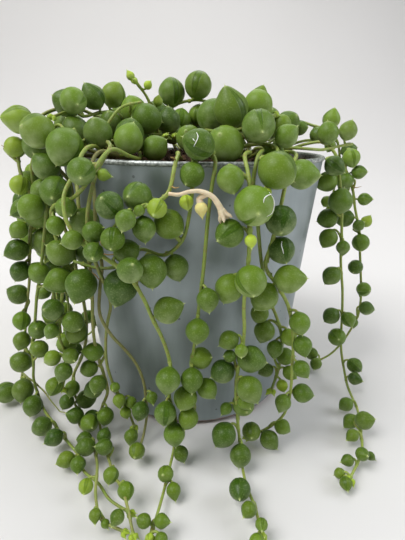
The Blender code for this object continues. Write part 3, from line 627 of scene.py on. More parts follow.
def keep_off_pot(points, room, inside):
    """Moves balls out of the pot's wall, its rim, the soil and the surface that it stands on."""
    radius = np.maximum(np.hypot(points[:, 0], points[:, 1]), 1e-6)
    height = points[:, 2]
    outward = points[:, :2] / radius[:, None]
    rise = RIM_RADIUS - BASE_RADIUS
    length = math.hypot(rise, POT_HEIGHT)
    normal_out, normal_up = POT_HEIGHT / length, -rise / length
    need = room + GAP
    beside = ~inside & (height < POT_HEIGHT)
    off_wall = (radius - BASE_RADIUS) * normal_out + height * normal_up
    push = np.where(beside, np.maximum(need - off_wall, 0), 0)
    radius_new = radius + push * normal_out
    height_new = height + push * normal_up
    # the folded rim, as a ring of round section
    from_rim = np.stack([radius_new - RIM_RADIUS, height_new - (POT_HEIGHT - BEAD_DROP)], axis=1)
    distance = np.maximum(np.linalg.norm(from_rim, axis=1), 1e-6)
    short = np.maximum(need + BEAD_RADIUS - distance, 0) / distance
    radius_new = radius_new + from_rim[:, 0] * short
    height_new = height_new + from_rim[:, 1] * short
    over_soil = radius_new < RIM_RADIUS - 1.0
    ground = np.where(
        over_soil & (height_new > 60), soil_top(np.minimum(radius_new, RIM_RADIUS)), FLOOR - GAP
    )
    height_new = np.maximum(height_new, ground + need)
    return np.concatenate([outward * radius_new[:, None], height_new[:, None]], axis=1)


lifted = keep_off_pot(np.array([(60.0, 0.0, 1.0)]), np.array([4.0]), np.array([False]))
print("a pearl of 8 mm that sank into the surface is lifted to", round(float(lifted[0, 2]), 1), "mm")

# %% Settle
STEM_ROOM = 1.55  # mm: the radius that a stem's joints keep free
SETTLE_ROUNDS = 300
FREEING_ROUNDS = 50  # at the end, when a stem isn't held to its length any more
SEARCH_EVERY = 8  # rounds between two searches for close pairs
PULL = 0.12  # towards the written place, in the first round
LENGTH_HOLD = 0.6  # how firmly a stem keeps its length
PEARL_HOLD, LAST_PEARL_HOLD = 0.7, 0.15  # how firmly a pearl stays at the end of its petiole


def settle(plants):
    """Moves stems and pearls a little at a time until none is inside another, the pot or the
    soil, with each pearl held to its stem."""
    joint_goal = plants.joint.copy()
    pearl_goal = plants.pearl.copy()
    count = len(plants.joint)
    links = plants.links
    on_stems = count + len(links)
    room = np.concatenate([np.full(on_stems, STEM_ROOM), plants.radius])
    owner = np.concatenate([plants.joint_stem, plants.joint_stem[links], plants.pearl_stem])
    is_pearl = np.arange(len(room)) >= on_stems
    anchor = np.concatenate([np.arange(count), links + 0.5, plants.root + plants.share])
    hang = plants.radius + PETIOLE
    free = ~plants.pinned
    for number in range(SETTLE_ROUNDS):
        freeing = number >= SETTLE_ROUNDS - FREEING_ROUNDS
        pull = PULL * max(0.0, 1 - number / (0.7 * SETTLE_ROUNDS))
        plants.joint[free] += pull * (joint_goal - plants.joint)[free]
        plants.pearl += pull * (pearl_goal - plants.pearl)
        # stems keep their length and pearls their petioles
        for _ in range(0 if freeing else 2):
            along = plants.joint[links + 1] - plants.joint[links]
            length = np.maximum(np.linalg.norm(along, axis=1), 1e-6)
            fix = along * (0.45 * (1 - plants.link_length / length))[:, None]
            move = np.zeros_like(plants.joint)
            np.add.at(move, links, fix)
            np.add.at(move, links + 1, -fix)
            plants.joint[free] += move[free] * LENGTH_HOLD
        roots = plants.roots()
        away = plants.pearl - roots
        length = np.maximum(np.linalg.norm(away, axis=1), 1e-6)
        hold = LAST_PEARL_HOLD if freeing else PEARL_HOLD
        plants.pearl -= away * (hold * (1 - hang / length))[:, None]
        middles = 0.5 * (plants.joint[links] + plants.joint[links + 1])
        points = np.concatenate([plants.joint, middles, plants.pearl])
        if number % SEARCH_EVERY == 0:
            first, second = close_pairs(points, room, owner, is_pearl, anchor)
        inside = (np.hypot(points[:, 0], points[:, 1]) < RIM_RADIUS) & (points[:, 2] > 80)
        moved = points + push_apart(points, room, plants.give[owner], first, second)
        moved = keep_off_pot(moved, room, inside)
        shift = moved - points
        move = shift[:count].copy()
        half = shift[count:on_stems] * 0.5
        np.add.at(move, links, half)
        np.add.at(move, links + 1, half)
        plants.joint[free] += move[free]
        plants.pearl += shift[on_stems:]


written = plants.pearl.copy()
settle(plants)
roots = plants.roots()
moved = np.linalg.norm(plants.pearl - written, axis=1)
print("settled: half of the pearls moved less than", round(float(np.median(moved)), 1), "mm")

# %% [markdown]
# ## Colours and nodes
#
# Colours are written as they would be read off a screen, as sRGB hex values, and turned into the
# linear numbers that a renderer works with. Every pattern is sized from a real length in mm.

# %% Helpers for materials
MIX_FIRST, MIX_SECOND, MIX_RESULT = 6, 7, 2  # the colour sockets of a Mix node


def linear(hex_colour):
    """An sRGB colour such as "5f7a3a" as linear red, green, blue and alpha."""
    channels = [int(hex_colour[k : k + 2], 16) / 255 for k in (0, 2, 4)]
    return (*(c / 12.92 if c <= 0.04045 else ((c + 0.055) / 1.055) ** 2.4 for c in channels), 1.0)


def per_metre(feature):
    """The scale that gives a pattern features this many mm wide."""
    return 1.0 / (feature * MM)


def add_node(tree, kind, inputs=None, **settings):
    """Adds a shader node. Settings are the node's own options; inputs are values or sockets."""
    node = tree.nodes.new(kind)
    for name, value in settings.items():
        setattr(node, name, value)
    for name, value in (inputs or {}).items():
        if isinstance(value, bpy.types.NodeSocket):
            tree.links.new(value, node.inputs[name])
        else:
            node.inputs[name].default_value = value
    return node


def start_material(name, values):
    """A new material, its node tree, its Principled shader with these socket values, and the
    place on the piece in metres."""
    made = bpy.data.materials.new(name)
    made.use_nodes = True
    shader = made.node_tree.nodes["Principled BSDF"]
    for socket, value in values.items():
        shader.inputs[socket].default_value = value
    place = add_node(made.node_tree, "ShaderNodeTexCoord").outputs["Object"]
    return made, made.node_tree, shader, place


print("5f7a3a is", [round(channel, 3) for channel in linear("5f7a3a")[:3]], "in linear numbers")

# %% [markdown]
# ## The pearl's skin
#
# A waxy cuticle over water-filled cells: satin, not glossy, and slightly see-through. A pale bloom
# lies on it in patches, with painted light added where the skin faces up, and less of both on
# leaves that have been rubbed. The window has no bloom, so it is deeper green and shinier. One
# image could hold all this, but values stored on the mesh, such as how far a point is into the
# window, let one material serve every pearl.

# %% Waxy succulent leaf
WINDOW_TINT, EDGE_TINT = 0.38, 0.4  # how strongly the window and its edge colour the skin

leaf, tree, shader, place = start_material(
    "waxy_succulent_leaf",
    {
        "IOR": 1.45,
        "Subsurface Weight": 0.08,
        "Subsurface Radius": (0.6, 0.9, 0.1),
        "Subsurface Scale": 1.0 * MM,
        "Sheen Weight": 0.05,
        "Sheen Roughness": 0.35,
        "Sheen Tint": linear("c8d8b0"),
        "Specular IOR Level": 0.3,
    },
)
value_of = {
    name: add_node(tree, "ShaderNodeAttribute", attribute_name=name).outputs["Fac"]
    for name in ("tone", "youth", "window", "edge", "tip", "scar", "bloom_and_top_light")
}
cloud = add_node(
    tree, "ShaderNodeTexNoise", {"Vector": place, "Scale": per_metre(3.0), "Detail": 3.0}
)
# the breathing pores are 0.05 mm; drawn at 0.45 mm so that they show as a fine fleck
fleck = add_node(
    tree, "ShaderNodeTexNoise", {"Vector": place, "Scale": per_metre(0.45), "Detail": 1.0}
)
marks = {}
for mark, value, low, high, least, most in (
    ("patches", cloud.outputs["Fac"], 0.3, 0.7, 0.1, 1.0),
    ("flecks", fleck.outputs["Fac"], 0.52, 0.72, 0.0, 0.22),
    ("dullness", value_of["window"], 0.0, 1.0, 0.43, 0.33),
):
    ramp = {"Value": value, "From Min": low, "From Max": high, "To Min": least, "To Max": most}
    marks[mark] = add_node(tree, "ShaderNodeMapRange", ramp).outputs["Result"]
bare = add_node(
    tree, "ShaderNodeMath", {0: 1.0, 1: value_of["window"]}, operation="SUBTRACT", use_clamp=True
).outputs["Value"]
bloom_and_top_light_in_patches = add_node(
    tree, "ShaderNodeMath", {0: value_of["bloom_and_top_light"], 1: marks["patches"]}, operation="MULTIPLY"
).outputs["Value"]
bloom_and_top_light_left = add_node(
    tree, "ShaderNodeMath", {0: bloom_and_top_light_in_patches, 1: bare}, operation="MULTIPLY"
).outputs["Value"]
window_tint = add_node(
    tree, "ShaderNodeMath", {0: value_of["window"], 1: WINDOW_TINT}, operation="MULTIPLY"
).outputs["Value"]
edge_tint = add_node(
    tree, "ShaderNodeMath", {0: value_of["edge"], 1: EDGE_TINT}, operation="MULTIPLY"
).outputs["Value"]
colour = linear("335108")
for amount, layer in (
    (value_of["tone"], "6a8a1e"),  # painted light and shade by height, over a tone that differs at random
    (value_of["youth"], "b4cc3c"),  # leaves that have only just opened
    (bloom_and_top_light_left, "bccb92"),  # the bloom, with painted light where the skin faces up
    (marks["flecks"], "a0b272"),  # the breathing pores
    (window_tint, "35560f"),
    (edge_tint, "2a3f12"),
    (value_of["tip"], "d2de96"),  # the pale point
    (value_of["scar"], "eef0e8"),  # healed scratches
):
    mix = {0: amount, MIX_FIRST: colour, MIX_SECOND: linear(layer)}
    colour = add_node(tree, "ShaderNodeMix", mix, data_type="RGBA").outputs[MIX_RESULT]
tree.links.new(colour, shader.inputs["Base Color"])
tree.links.new(marks["dullness"], shader.inputs["Roughness"])
skin = add_node(
    tree,
    "ShaderNodeBump",
    {"Height": fleck.outputs["Fac"], "Strength": 0.25, "Distance": 0.06 * MM},
)
tree.links.new(skin.outputs["Normal"], shader.inputs["Normal"])
print("material", leaf.name)

# %% [markdown]
# ## The stems
#
# A living stem is fleshy and yellow-green, with fine streaks along it and brown corky flecks where
# it has lain on soil. Towards its root it turns to a greyish brown. One mix from green to brown,
# driven by a value along the stem, covers every age.

# %% Fleshy stem
stem_skin, tree, shader, place = start_material(
    "fleshy_stem_skin",
    {"IOR": 1.45, "Roughness": 0.5, "Subsurface Weight": 0.08, "Subsurface Scale": 0.6 * MM},
)
tone = add_node(tree, "ShaderNodeAttribute", attribute_name="tone").outputs["Fac"]
wood = add_node(tree, "ShaderNodeAttribute", attribute_name="wood").outputs["Fac"]
streak = add_node(
    tree, "ShaderNodeTexNoise", {"Vector": place, "Scale": per_metre(1.6), "Detail": 3.0}
).outputs["Fac"]
cork = add_node(
    tree, "ShaderNodeTexNoise", {"Vector": place, "Scale": per_metre(0.8), "Detail": 2.0}
).outputs["Fac"]
cork_shade = add_node(
    tree,
    "ShaderNodeMapRange",
    {"Value": cork, "From Min": 0.54, "From Max": 0.66, "To Min": 0.0, "To Max": 0.6},
).outputs["Result"]
bark = {0: streak, MIX_FIRST: linear("5d4c34"), MIX_SECOND: linear("9a8a68")}
bark_colour = add_node(tree, "ShaderNodeMix", bark, data_type="RGBA").outputs[MIX_RESULT]
colour = linear("7f9634")
for amount, layer in (
    (streak, linear("b4c268")),
    (tone, linear("687f2c")),
    (cork_shade, linear("8a7040")),
    (wood, bark_colour),
):
    mix = {0: amount, MIX_FIRST: colour, MIX_SECOND: layer}
    colour = add_node(tree, "ShaderNodeMix", mix, data_type="RGBA").outputs[MIX_RESULT]
tree.links.new(colour, shader.inputs["Base Color"])
ridges = add_node(tree, "ShaderNodeBump", {"Height": cork, "Strength": 0.4, "Distance": 0.1 * MM})
tree.links.new(ridges.outputs["Normal"], shader.inputs["Normal"])
print("material", stem_skin.name)

# %% [markdown]
# ## Root fibres and the withered stalk
#
# Trailing stems put out thin roots where they touch something, and these dry to a tan thread. The
# flower stalk has dried too, to a papery pinkish tan. Both are matt, and paler on raised fibres.

# %% Dry fibre and withered stalk
fibre, tree, shader, place = start_material("dry_root_fibre", {"Roughness": 0.85})
strands = add_node(
    tree, "ShaderNodeTexNoise", {"Vector": place, "Scale": per_metre(0.9), "Detail": 3.0}
).outputs["Fac"]
mix = {0: strands, MIX_FIRST: linear("8a6838"), MIX_SECOND: linear("c8aa70")}
tan = add_node(tree, "ShaderNodeMix", mix, data_type="RGBA").outputs[MIX_RESULT]
tree.links.new(tan, shader.inputs["Base Color"])

stalk_skin, tree, shader, place = start_material(
    "withered_flower_stalk",
    {"Roughness": 0.7, "Subsurface Weight": 0.1, "Subsurface Scale": 0.5 * MM},
)
tip = add_node(tree, "ShaderNodeAttribute", attribute_name="tip").outputs["Fac"]
mottle = add_node(
    tree, "ShaderNodeTexNoise", {"Vector": place, "Scale": per_metre(1.5), "Detail": 3.0}
).outputs["Fac"]
colour = linear("d2b590")
for amount, layer in ((mottle, "f2e8c8"), (tip, "e2d878")):
    mix = {0: amount, MIX_FIRST: colour, MIX_SECOND: linear(layer)}
    colour = add_node(tree, "ShaderNodeMix", mix, data_type="RGBA").outputs[MIX_RESULT]
tree.links.new(colour, shader.inputs["Base Color"])
crinkle = add_node(
    tree, "ShaderNodeBump", {"Height": mottle, "Strength": 0.5, "Distance": 0.15 * MM}
)
tree.links.new(crinkle.outputs["Normal"], shader.inputs["Normal"])
print("materials", fibre.name, stalk_skin.name)

# %% [markdown]
# ## Building a grown piece
#
# A strand is one grown piece, so its stem, pearls and roots go into one mesh. Blender's own
# spheres and curves could be joined, but a pearl is not a sphere and needs its own values at each
# point, so the points are worked out directly and gathered here.

# %% A gatherer for points, faces and values
VALUES = ("tone", "youth", "window", "edge", "tip", "scar", "wood", "rubbed")


class Growth:
    """Gathers points in mm, faces and point values, and turns them into one object."""

    def __init__(self):
        self.points, self.faces, self.finish = [], [], []
        self.values = {name: [] for name in VALUES}
        self.count = 0

    def add(self, points, faces, finish, **values):
        self.points.append(points)
        self.faces += [tuple(corner + self.count for corner in face) for face in faces]
        self.finish += [finish] * len(faces)
        for name in VALUES:
            self.values[name].append(np.broadcast_to(values.get(name, 0.0), len(points)))
        self.count += len(points)

    def finished(self, name, materials):
        mesh = bpy.data.meshes.new(name)
        mesh.from_pydata((np.concatenate(self.points) * MM).tolist(), [], self.faces)
        mesh.polygons.foreach_set("material_index", self.finish)
        for material in materials:
            mesh.materials.append(material)
        for value, parts in self.values.items():
            stored = mesh.attributes.new(value, "FLOAT", "POINT")
            stored.data.foreach_set("value", np.concatenate(parts).astype(np.float32))
        mesh.shade_smooth()
        normals = np.zeros(3 * len(mesh.vertices), np.float32)
        mesh.vertices.foreach_get("normal", normals)
        # the bloom and a painted light from above are strongest on what faces up
        upward = np.clip(0.5 + 0.5 * normals[2::3], 0, 1) ** 2
        bloom_and_top_light = mesh.attributes.new("bloom_and_top_light", "FLOAT", "POINT")
        bloom_and_top_light.data.foreach_set("value", upward * (1 - np.concatenate(self.values["rubbed"])))
        made = bpy.data.objects.new(name, mesh)
        bpy.context.scene.collection.objects.link(made)
        return made


def grid_faces(rows, columns, first, last):
    """Faces of a closed grid of rings, with a point before the first ring and one after the last.
    The points are numbered first, ring by ring from 1, last."""
    faces = []
    for k in range(columns):
        after = (k + 1) % columns
        faces.append((first, 1 + after, 1 + k))
        top = 1 + (rows - 1) * columns
        faces.append((last, top + k, top + after))
    for row in range(rows - 1):
        low = 1 + row * columns
        for k in range(columns):
            after = (k + 1) % columns
            faces.append((low + k, low + after, low + columns + after, low + columns + k))
    return faces


def square_to(axis, hint):
    """Two unit directions square to an axis, the first as near to the hint as it can be."""
    first = hint - axis * hint.dot(axis)
    if np.linalg.norm(first) < 0.05:
        first = np.cross(axis, (0.31, 0.77, 0.55))
    first = first / np.linalg.norm(first)
    return first, np.cross(axis, first)


print("each point carries", ", ".join(VALUES))

# %% [markdown]
# ## A tube along a line
#
# Stems, petioles, roots and the stalk are all tubes whose thickness changes. The rings are carried
# along the line without twisting, as a curve object would do, but every ring has its own radius.

# %% Tube
def add_tube(growth, path, radii, sides, finish, **values):
    """A closed tube with a ring of its own radius at every point of the path, in mm."""
    path = np.asarray(path, float)
    radii = np.broadcast_to(radii, len(path))
    tangents = np.gradient(path, axis=0)
    tangents /= np.maximum(np.linalg.norm(tangents, axis=1), 1e-9)[:, None]
    side, _ = square_to(tangents[0], np.array((0.2, 0.4, 0.9)))
    angles = 2 * math.pi * np.arange(sides) / sides
    rings = []
    for point, tangent, radius in zip(path, tangents, radii):
        side = side - tangent * side.dot(tangent)
        side /= np.linalg.norm(side)
        across = np.cross(tangent, side)
        rings.append(
            point + radius * (np.outer(np.cos(angles), side) + np.outer(np.sin(angles), across))
        )
    # low domes close both ends
    start = path[0] - tangents[0] * radii[0] * 0.4
    end = path[-1] + tangents[-1] * radii[-1] * 0.6
    points = np.concatenate([[start], *rings, [end]])
    spread = {}
    for name, value in values.items():
        value = np.broadcast_to(value, len(path))
        spread[name] = np.concatenate([value[:1], np.repeat(value, sides), value[-1:]])
    growth.add(points, grid_faces(len(path), sides, 0, len(points) - 1), finish, **spread)


sample = Growth()
add_tube(sample, [(0, 0, 0), (0, 0, 5), (0, 0, 10)], 0.6, 8, 0)
print("a tube of 3 rings with 8 sides has", sample.count, "points")

# %% [markdown]
# ## One pearl
#
# The pearl is turned round its own axis from point to petiole: a thin pale point, a round body
# drawn out a little towards both ends, and the window as a shallow flat strip with a crisp edge.
# The columns of the mesh stand close together at the window so that its edge stays sharp. Each
# pearl also gets its tone, its youth, and how much of its bloom has been rubbed off, which takes the
# same share off the painted light on its top.

# %% Pearl
POINT_LENGTH = 0.75  # mm, about the same on every leaf
POINT_WIDTH = 0.17
NECK = 0.09  # how much shorter the body is at the petiole, as a part of its radius
WINDOW_SUNK = 0.035  # how far the window lies below the round, as a part of the radius
LEAF, STEM, FIBRE = 0, 1, 2  # slots of a strand's materials


def pearl_columns(window_width, around):
    """Angles round the pearl, closer together across the window, which is centred on 0."""
    across = np.array([0, 0.5, 0.85, 1.0, 1.2, 1.7]) * window_width
    rest = np.linspace(across[-1], 2 * math.pi - across[-1], around)[1:-1]
    return np.concatenate([across, rest, 2 * math.pi - across[:0:-1]])


def add_pearl(
    growth, centre, radius, axis, hint, window_width, drawn, tone, youth, fine, rubbed=0.4
):
    """A pearl with its point along the axis and its window on the side of the hint. Drawn is how
    far the body is pulled out towards the point."""
    angles = pearl_columns(window_width, 20 if fine else 12)
    slope = np.linspace(0, math.pi, 19 if fine else 13)[1:-1]
    lengthwise = np.cos(slope) + drawn * np.exp(-((slope / 0.5) ** 2))
    lengthwise -= NECK * np.exp(-(((math.pi - slope) / 0.35) ** 2))
    outward = np.sin(slope) * (1 - 0.35 * drawn * np.exp(-(((slope - 0.55) / 0.5) ** 2)))
    top = 1 + drawn
    point_rows = np.array([POINT_LENGTH, 0.5 * POINT_LENGTH, 0.12 * POINT_LENGTH]) / radius
    lengthwise = np.concatenate([top + point_rows[1:], lengthwise])
    outward = np.concatenate([np.array([0.45, 1.0]) * POINT_WIDTH / radius, outward])
    slope = np.concatenate([[0.0, 0.0], slope])
    turned_from_window = np.minimum(angles, 2 * math.pi - angles)
    inside = np.clip((1.2 * window_width - turned_from_window) / (0.2 * window_width), 0, 1)
    edge = np.exp(-(((turned_from_window - window_width) / (0.22 * window_width)) ** 2))
    body = np.clip(np.sin(slope) * 1.6, 0, 1) * (slope < 2.75)
    sunk = 1 - WINDOW_SUNK * body[:, None] * inside[None]
    first, second = square_to(axis, hint)
    spokes = np.outer(np.cos(angles), first) + np.outer(np.sin(angles), second)
    points = (
        centre
        + radius * lengthwise[:, None, None] * axis
        + radius * (outward[:, None] * sunk)[:, :, None] * spokes[None]
    )
    rows, columns = len(slope), len(angles)
    tip_end = centre + axis * radius * (top + point_rows[0])
    base_end = centre - axis * radius * 1.06
    points = np.concatenate([[tip_end], points.reshape(-1, 3), [base_end]])
    window = (body[:, None] * inside[None]).ravel()
    lines = (body[:, None] * edge[None]).ravel()
    pale = np.repeat(np.concatenate([[1.0, 0.55], np.exp(-((slope[2:] / 0.1) ** 2))]), columns)
    growth.add(
        points,
        grid_faces(rows, columns, 0, len(points) - 1),
        LEAF,
        tone=tone,
        youth=youth,
        rubbed=rubbed,
        window=np.concatenate([[0.0], window, [0.0]]),
        edge=np.concatenate([[0.0], lines, [0.0]]),
        tip=np.concatenate([[1.0], pale, [0.0]]),
    )


sample = Growth()
point_way, window_way = np.array((0.0, 0.0, 1.0)), np.array((1.0, 0.0, 0.0))
add_pearl(sample, np.zeros(3), 4.0, point_way, window_way, 0.2, 0.1, 0.5, 0.0, True)
print("a pearl of 8 mm has", sample.count, "points and", len(sample.faces), "faces")

# %% [markdown]
# ## How a pearl hangs on its stem
#
# The petiole is short and bends, so that the pearl's point faces out to the light and a little
# down. A window lies on the upper side of its leaf. Both vary from leaf to leaf, so a seeded
# random number generator shifts them, and it gives the same plant every time.

# %% Axis, window side and petiole
random = np.random.default_rng(20)
MOST_BEND = math.radians(55)


def unit(vector):
    return np.asarray(vector, float) / max(float(np.linalg.norm(vector)), 1e-9)


def pearl_axis(centre, root, wanted):
    """The way the point faces: the wanted way, as far as the petiole can bend to it."""
    away = unit(centre - root)
    wanted = unit(wanted)
    bend = math.acos(float(np.clip(away.dot(wanted), -1, 1)))
    if bend <= MOST_BEND:
        return wanted
    side = unit(wanted - away * away.dot(wanted))
    return math.cos(MOST_BEND) * away + math.sin(MOST_BEND) * side


def usual_axis(centre, root):
    """Out to the light, away from the stem and a little down."""
    outward = unit((centre[0], centre[1], 0.0))
    above = centre[2] > POT_HEIGHT + 2
    sag = np.array([0, 0, 0.15 if above else -0.75])
    return unit(centre - root) + (0.35 if above else 0.3) * outward + sag


def clear_of_floor(centre, axis, reach):
    """The axis, turned up just enough that a leaf this long doesn't go through the floor."""
    lowest = -max(centre[2] - 0.1, 0.0) / reach
    if axis[2] >= lowest:
        return axis
    level = unit((axis[0] + 0.001, axis[1], 0.0))
    return level * math.sqrt(1 - lowest**2) + np.array((0.0, 0.0, lowest))


def add_petiole(growth, root, centre, radius, axis, tone):
    base = centre - axis * radius
    gap = float(np.linalg.norm(base - root))
    middle = base - axis * max(0.45 * gap, 0.6)
    t = np.linspace(0, 1, 7)[:, None]
    path = (1 - t) ** 2 * root + 2 * t * (1 - t) * middle + t**2 * (base + 0.15 * radius * axis)
    thin = 0.3 + 0.035 * radius
    radii = np.interp(t[:, 0], [0, 0.2, 0.6, 1], [1.7 * thin, 1.15 * thin, thin, 1.35 * thin])
    add_tube(growth, path, radii, 6, STEM, tone=tone)


print("a petiole bends by up to", round(math.degrees(MOST_BEND)), "degrees")

# %% [markdown]
# ## Growing tips and aerial roots
#
# A stem ends in a tuft of leaves that have only just opened: small, pointed and lime green. Each
# is a pearl in miniature. Roots are crooked threads, made as thin tubes along a wandering line.

# %% Tufts and roots
CUT_STEMS = ("right_stub", "upright_left", "front_return", "front_arch")  # without a tuft
RUNNER_LENGTH = 20  # mm
ROOT_STEP = 1.2  # mm


def add_tuft(growth, end, heading):
    """Three or four new leaves round the end of a stem."""
    first, second = square_to(heading, np.array((0.1, 0.3, 0.95)))
    for k in range(4):
        turn = 2 * math.pi * k / 3 + random.uniform(-0.3, 0.3)
        lean = 0.35 + 0.25 * k if k < 3 else 0.1
        axis = unit(heading + lean * (math.cos(turn) * first + math.sin(turn) * second))
        radius = random.uniform(0.65, 1.05)
        axis = clear_of_floor(end, axis, 3.1 * radius + POINT_LENGTH)
        centre = end + axis * (radius + 0.5)
        centre[2] = max(centre[2], radius + 0.1)
        hint = heading + np.array((0.0, 0.0, 0.4))
        add_pearl(growth, centre, radius, axis, hint, 0.25, 0.55, 0.9, 0.65, False)
        add_petiole(growth, end, centre, radius, axis, 0.0)


def add_root(growth, start, heading, length):
    """A crooked thread of a root, or when it is long a bare old runner, straighter and thicker."""
    runner = length > RUNNER_LENGTH
    points = [np.array(start, float)]
    heading = unit(heading)
    for _ in range(max(3, int(length / ROOT_STEP))):
        heading = unit(heading + random.normal(0, 0.07 if runner else 0.32, 3))
        points.append(points[-1] + heading * ROOT_STEP)
    path = smooth_route(points, 0.6)
    path[:, 2] = np.maximum(path[:, 2], FLOOR)
    thick, finish = (0.5, STEM) if runner else (0.27, FIBRE)
    add_tube(growth, path, np.linspace(thick, 0.1, len(path)), 6, finish, wood=0.35)


print("cut stems, without a tuft:", ", ".join(CUT_STEMS))

# %% [markdown]
# ## Scratches
#
# A leaf that has been rubbed heals with a thin white line of dry skin. It stands just proud of the
# leaf, so it is a fine tube that follows the round of it.

# %% Healed scratches
# The stem, the leaf counted along it, and the line over the leaf.
SCARS = (
    ("right_front", 1, ((0.64, 0.59), (0.83, 0.34), (0.9, 0.03), (0.8, -0.38), (0.53, -0.57))),
    ("right_front", 1, ((0.31, 0.02), (0.37, 0.26), (0.59, 0.43), (0.78, 0.48))),
    ("front_return", 0, ((-0.14, 0.5), (-0.05, 0.15), (-0.3, -0.38))),
    ("front_return", 0, ((-0.36, 0.1), (-0.24, -0.08))),
    ("right_second", 2, ((-0.12, 0.6), (-0.18, 0.3), (-0.1, 0.0), (-0.02, -0.3))),
)


def add_scar(growth, centre, radius, line):
    """A white line over the leaf's front, through points across and up in parts of its radius."""
    front = unit((0.0, -0.95, 0.3))
    across, rise = np.array((1.0, 0.0, 0.0)), np.array((0.0, 0.3, 0.95))
    flat = smooth_route([(*spot, 0.0) for spot in line], 0.08)
    out = np.sqrt(np.maximum(1 - flat[:, 0] ** 2 - flat[:, 1] ** 2, 0.02))
    path = np.outer(flat[:, 0], across) + np.outer(flat[:, 1], rise) + np.outer(out, front)
    thin = 0.05 + 0.1 * np.sin(np.linspace(0.15, math.pi - 0.15, len(path)))
    add_tube(growth, centre + path * (radius + 0.02), thin, 5, LEAF, scar=1.0)


print(len(SCARS), "scratches on", len({(stem, number) for stem, number, _ in SCARS}), "leaves")

# %% [markdown]
# ## Grow every strand
#
# Each strand takes the place of one solid of the frame. The stem thins towards its tip, swells
# where a leaf springs from it and is woody near its root. Leaves near the growing tip are younger:
# smaller, lighter and more pointed.

# %% The leaves that face a certain way
# Leaves counted along their stem: where the point faces, where the window faces (None: as usual)
# and how young the leaf is, from 0 to 1.
LEAVES = {
    "young_shoot": {
        0: ((2, -5, 8), None, 0.6), 1: ((6, -3, 7), None, 0.9), 2: ((-5, -3, 8), None, 0.9),
    },
    "left_outer": {
        0: ((-8, -6, 1), (5, -3, 8), 0.3), 1: ((10, -2, 0), (7, -2, -6), 0.5),
        2: ((1, -6, -8), None, 0.5), 4: ((-3, -9, 0), None, 0), 11: ((-8, -3, 6), None, 0.1),
        13: ((-5, -8, 4), None, 0.05),
    },
    "left_inner": {
        1: ((2, -9, -3), None, 0), 2: ((10, 0, -2), (1, -3, 9), 0.3),
        5: ((-8, -6, -2), (4, -6, -7), 0.05),
    },
    "front_long": {
        5: ((3, -7, 6), None, 0), 6: ((1, -5, -8), None, 0.05), 7: ((9, 0, 4), None, 0.1),
    },
    "front_arch": {
        0: ((-2, -9, -4), None, 0.45), 1: ((-4, -9, 1), None, 0), 4: ((-2, -6, -8), None, 0.03),
        5: ((-3, -8, 6), (7, -4, -6), 0), 6: ((0, -8, -5), (1, -2, 10), 0.03),
    },
    "front_return": {
        0: ((-9, -2, 4), (6, -5, -6), 0), 1: ((-4, -7, -6), None, 0),
        2: ((2, -4, -9), (0, -3, 10), 1), 3: ((8, -5, -4), None, 0.1), 5: ((-2, -6, -8), None, 0),
        6: ((-2, -6, -7), None, 0),
    },
    "right_front": {
        0: ((2, -6, -8), None, 0.05), 1: ((1, -10, -2), None, 0),
        2: ((-7, -6, -3), (7, -3, 7), 0), 3: ((1, -7, -8), None, 1),
        4: ((1, -8, -6), None, 0.05), 14: ((2, -10, 0), None, 0.05), 17: ((-1, -10, 1), None, 0),
    },
    "right_second": {
        0: ((9, -5, 0), None, 0), 1: ((-1, -8, -5), (1, -3, 10), 0),
        2: ((2, -7, -6), (-1, -2, 10), 0), 3: ((9, -4, 2), None, 0.1),
    },
    "right_short": {
        7: ((2, -8, -6), None, 0.6),
    },
    "far_right_long": {
        0: ((7, -5, -5), None, 0), 2: ((-10, 0, -3), None, 0), 5: ((-5, -3, -8), None, 0.1),
    },
    "far_right_back": {
        0: ((2, -4, -9), (-2, -3, 9), 0.1), 1: ((8, -6, 1), None, 0), 3: ((8, -6, 1), None, 0),
        5: ((4, -2, 9), None, 0.6),
    },
    "side_right": {
        2: ((1, -3, 9), None, 0.1),
    },
    "top_left": {
        0: ((5, -2, 9), None, 0.25), 1: ((-4, -4, 8), (9, -2, -3), 0), 3: ((5, -8, -3), None, 0),
    },
    "upright_left": {
        0: ((10, -1, -2), None, 0),
    },
    "top_back": {
        2: ((3, -3, 9), None, 0.15),
    },
    "top_centre": {
        0: ((-2, -9, 5), None, 0.05), 2: ((-3, -8, 5), None, 0.05),
        3: ((-3, -3, 9), (7, -5, -5), 0.1), 4: ((1, -10, -3), (-1, -4, 9), 0),
    },
    "top_right": {
        2: ((8, -4, -5), (7, -5, 5), 0.1),
    },
    "left_crown": {
        0: ((-4, -4, -9), None, 0),
    },
    "left_fifth": {
        12: ((0, -10, -2), None, 0.4), 14: ((2, -9, -4), None, 0.2),
    },
    "side_left": {
        2: ((-2, -6, -8), (6, -2, 8), 0),
    },
    "crown_8": {
        2: ((4, -9, 1), None, 0.1),
    },
}
print(sum(map(len, LEAVES.values())), "leaves on", len(LEAVES), "stems face a set way")

# %% What sets some stems and leaves apart
# How far these stems have turned to wood, from 0 to 1.
OLD_STEMS = {
    "woody_left": 0.55, "left_sixth": 0.3, "left_outer": 0.35, "left_fourth": 0.35, "left_fifth": 0.3,
}
YOUNG_STEMS = {"young_shoot": 0.85}  # and how young the leaves of these are
# Leaves whose bloom nothing has rubbed off, so they keep all their bloom and its painted top light.
UNRUBBED_BLOOM_AND_TOP_LIGHT = {
    ("front_long", 5), ("front_long", 7), ("front_long", 8), ("front_long", 9), ("right_front", 1),
    ("right_front", 4), ("top_centre", 4), ("front_arch", 1), ("left_crown", 0),
}
# Leaves drawn out to a longer point than most.
POINTED = {
    ("front_return", 5), ("front_return", 6), ("top_centre", 3), ("top_back", 2),
    ("left_outer", 0), ("top_left", 1), ("side_right", 2), ("right_second", 0), ("right_second", 3),
    ("front_long", 7), ("far_right_long", 0), ("left_inner", 5),
}
LONG_DRAWN = 0.24
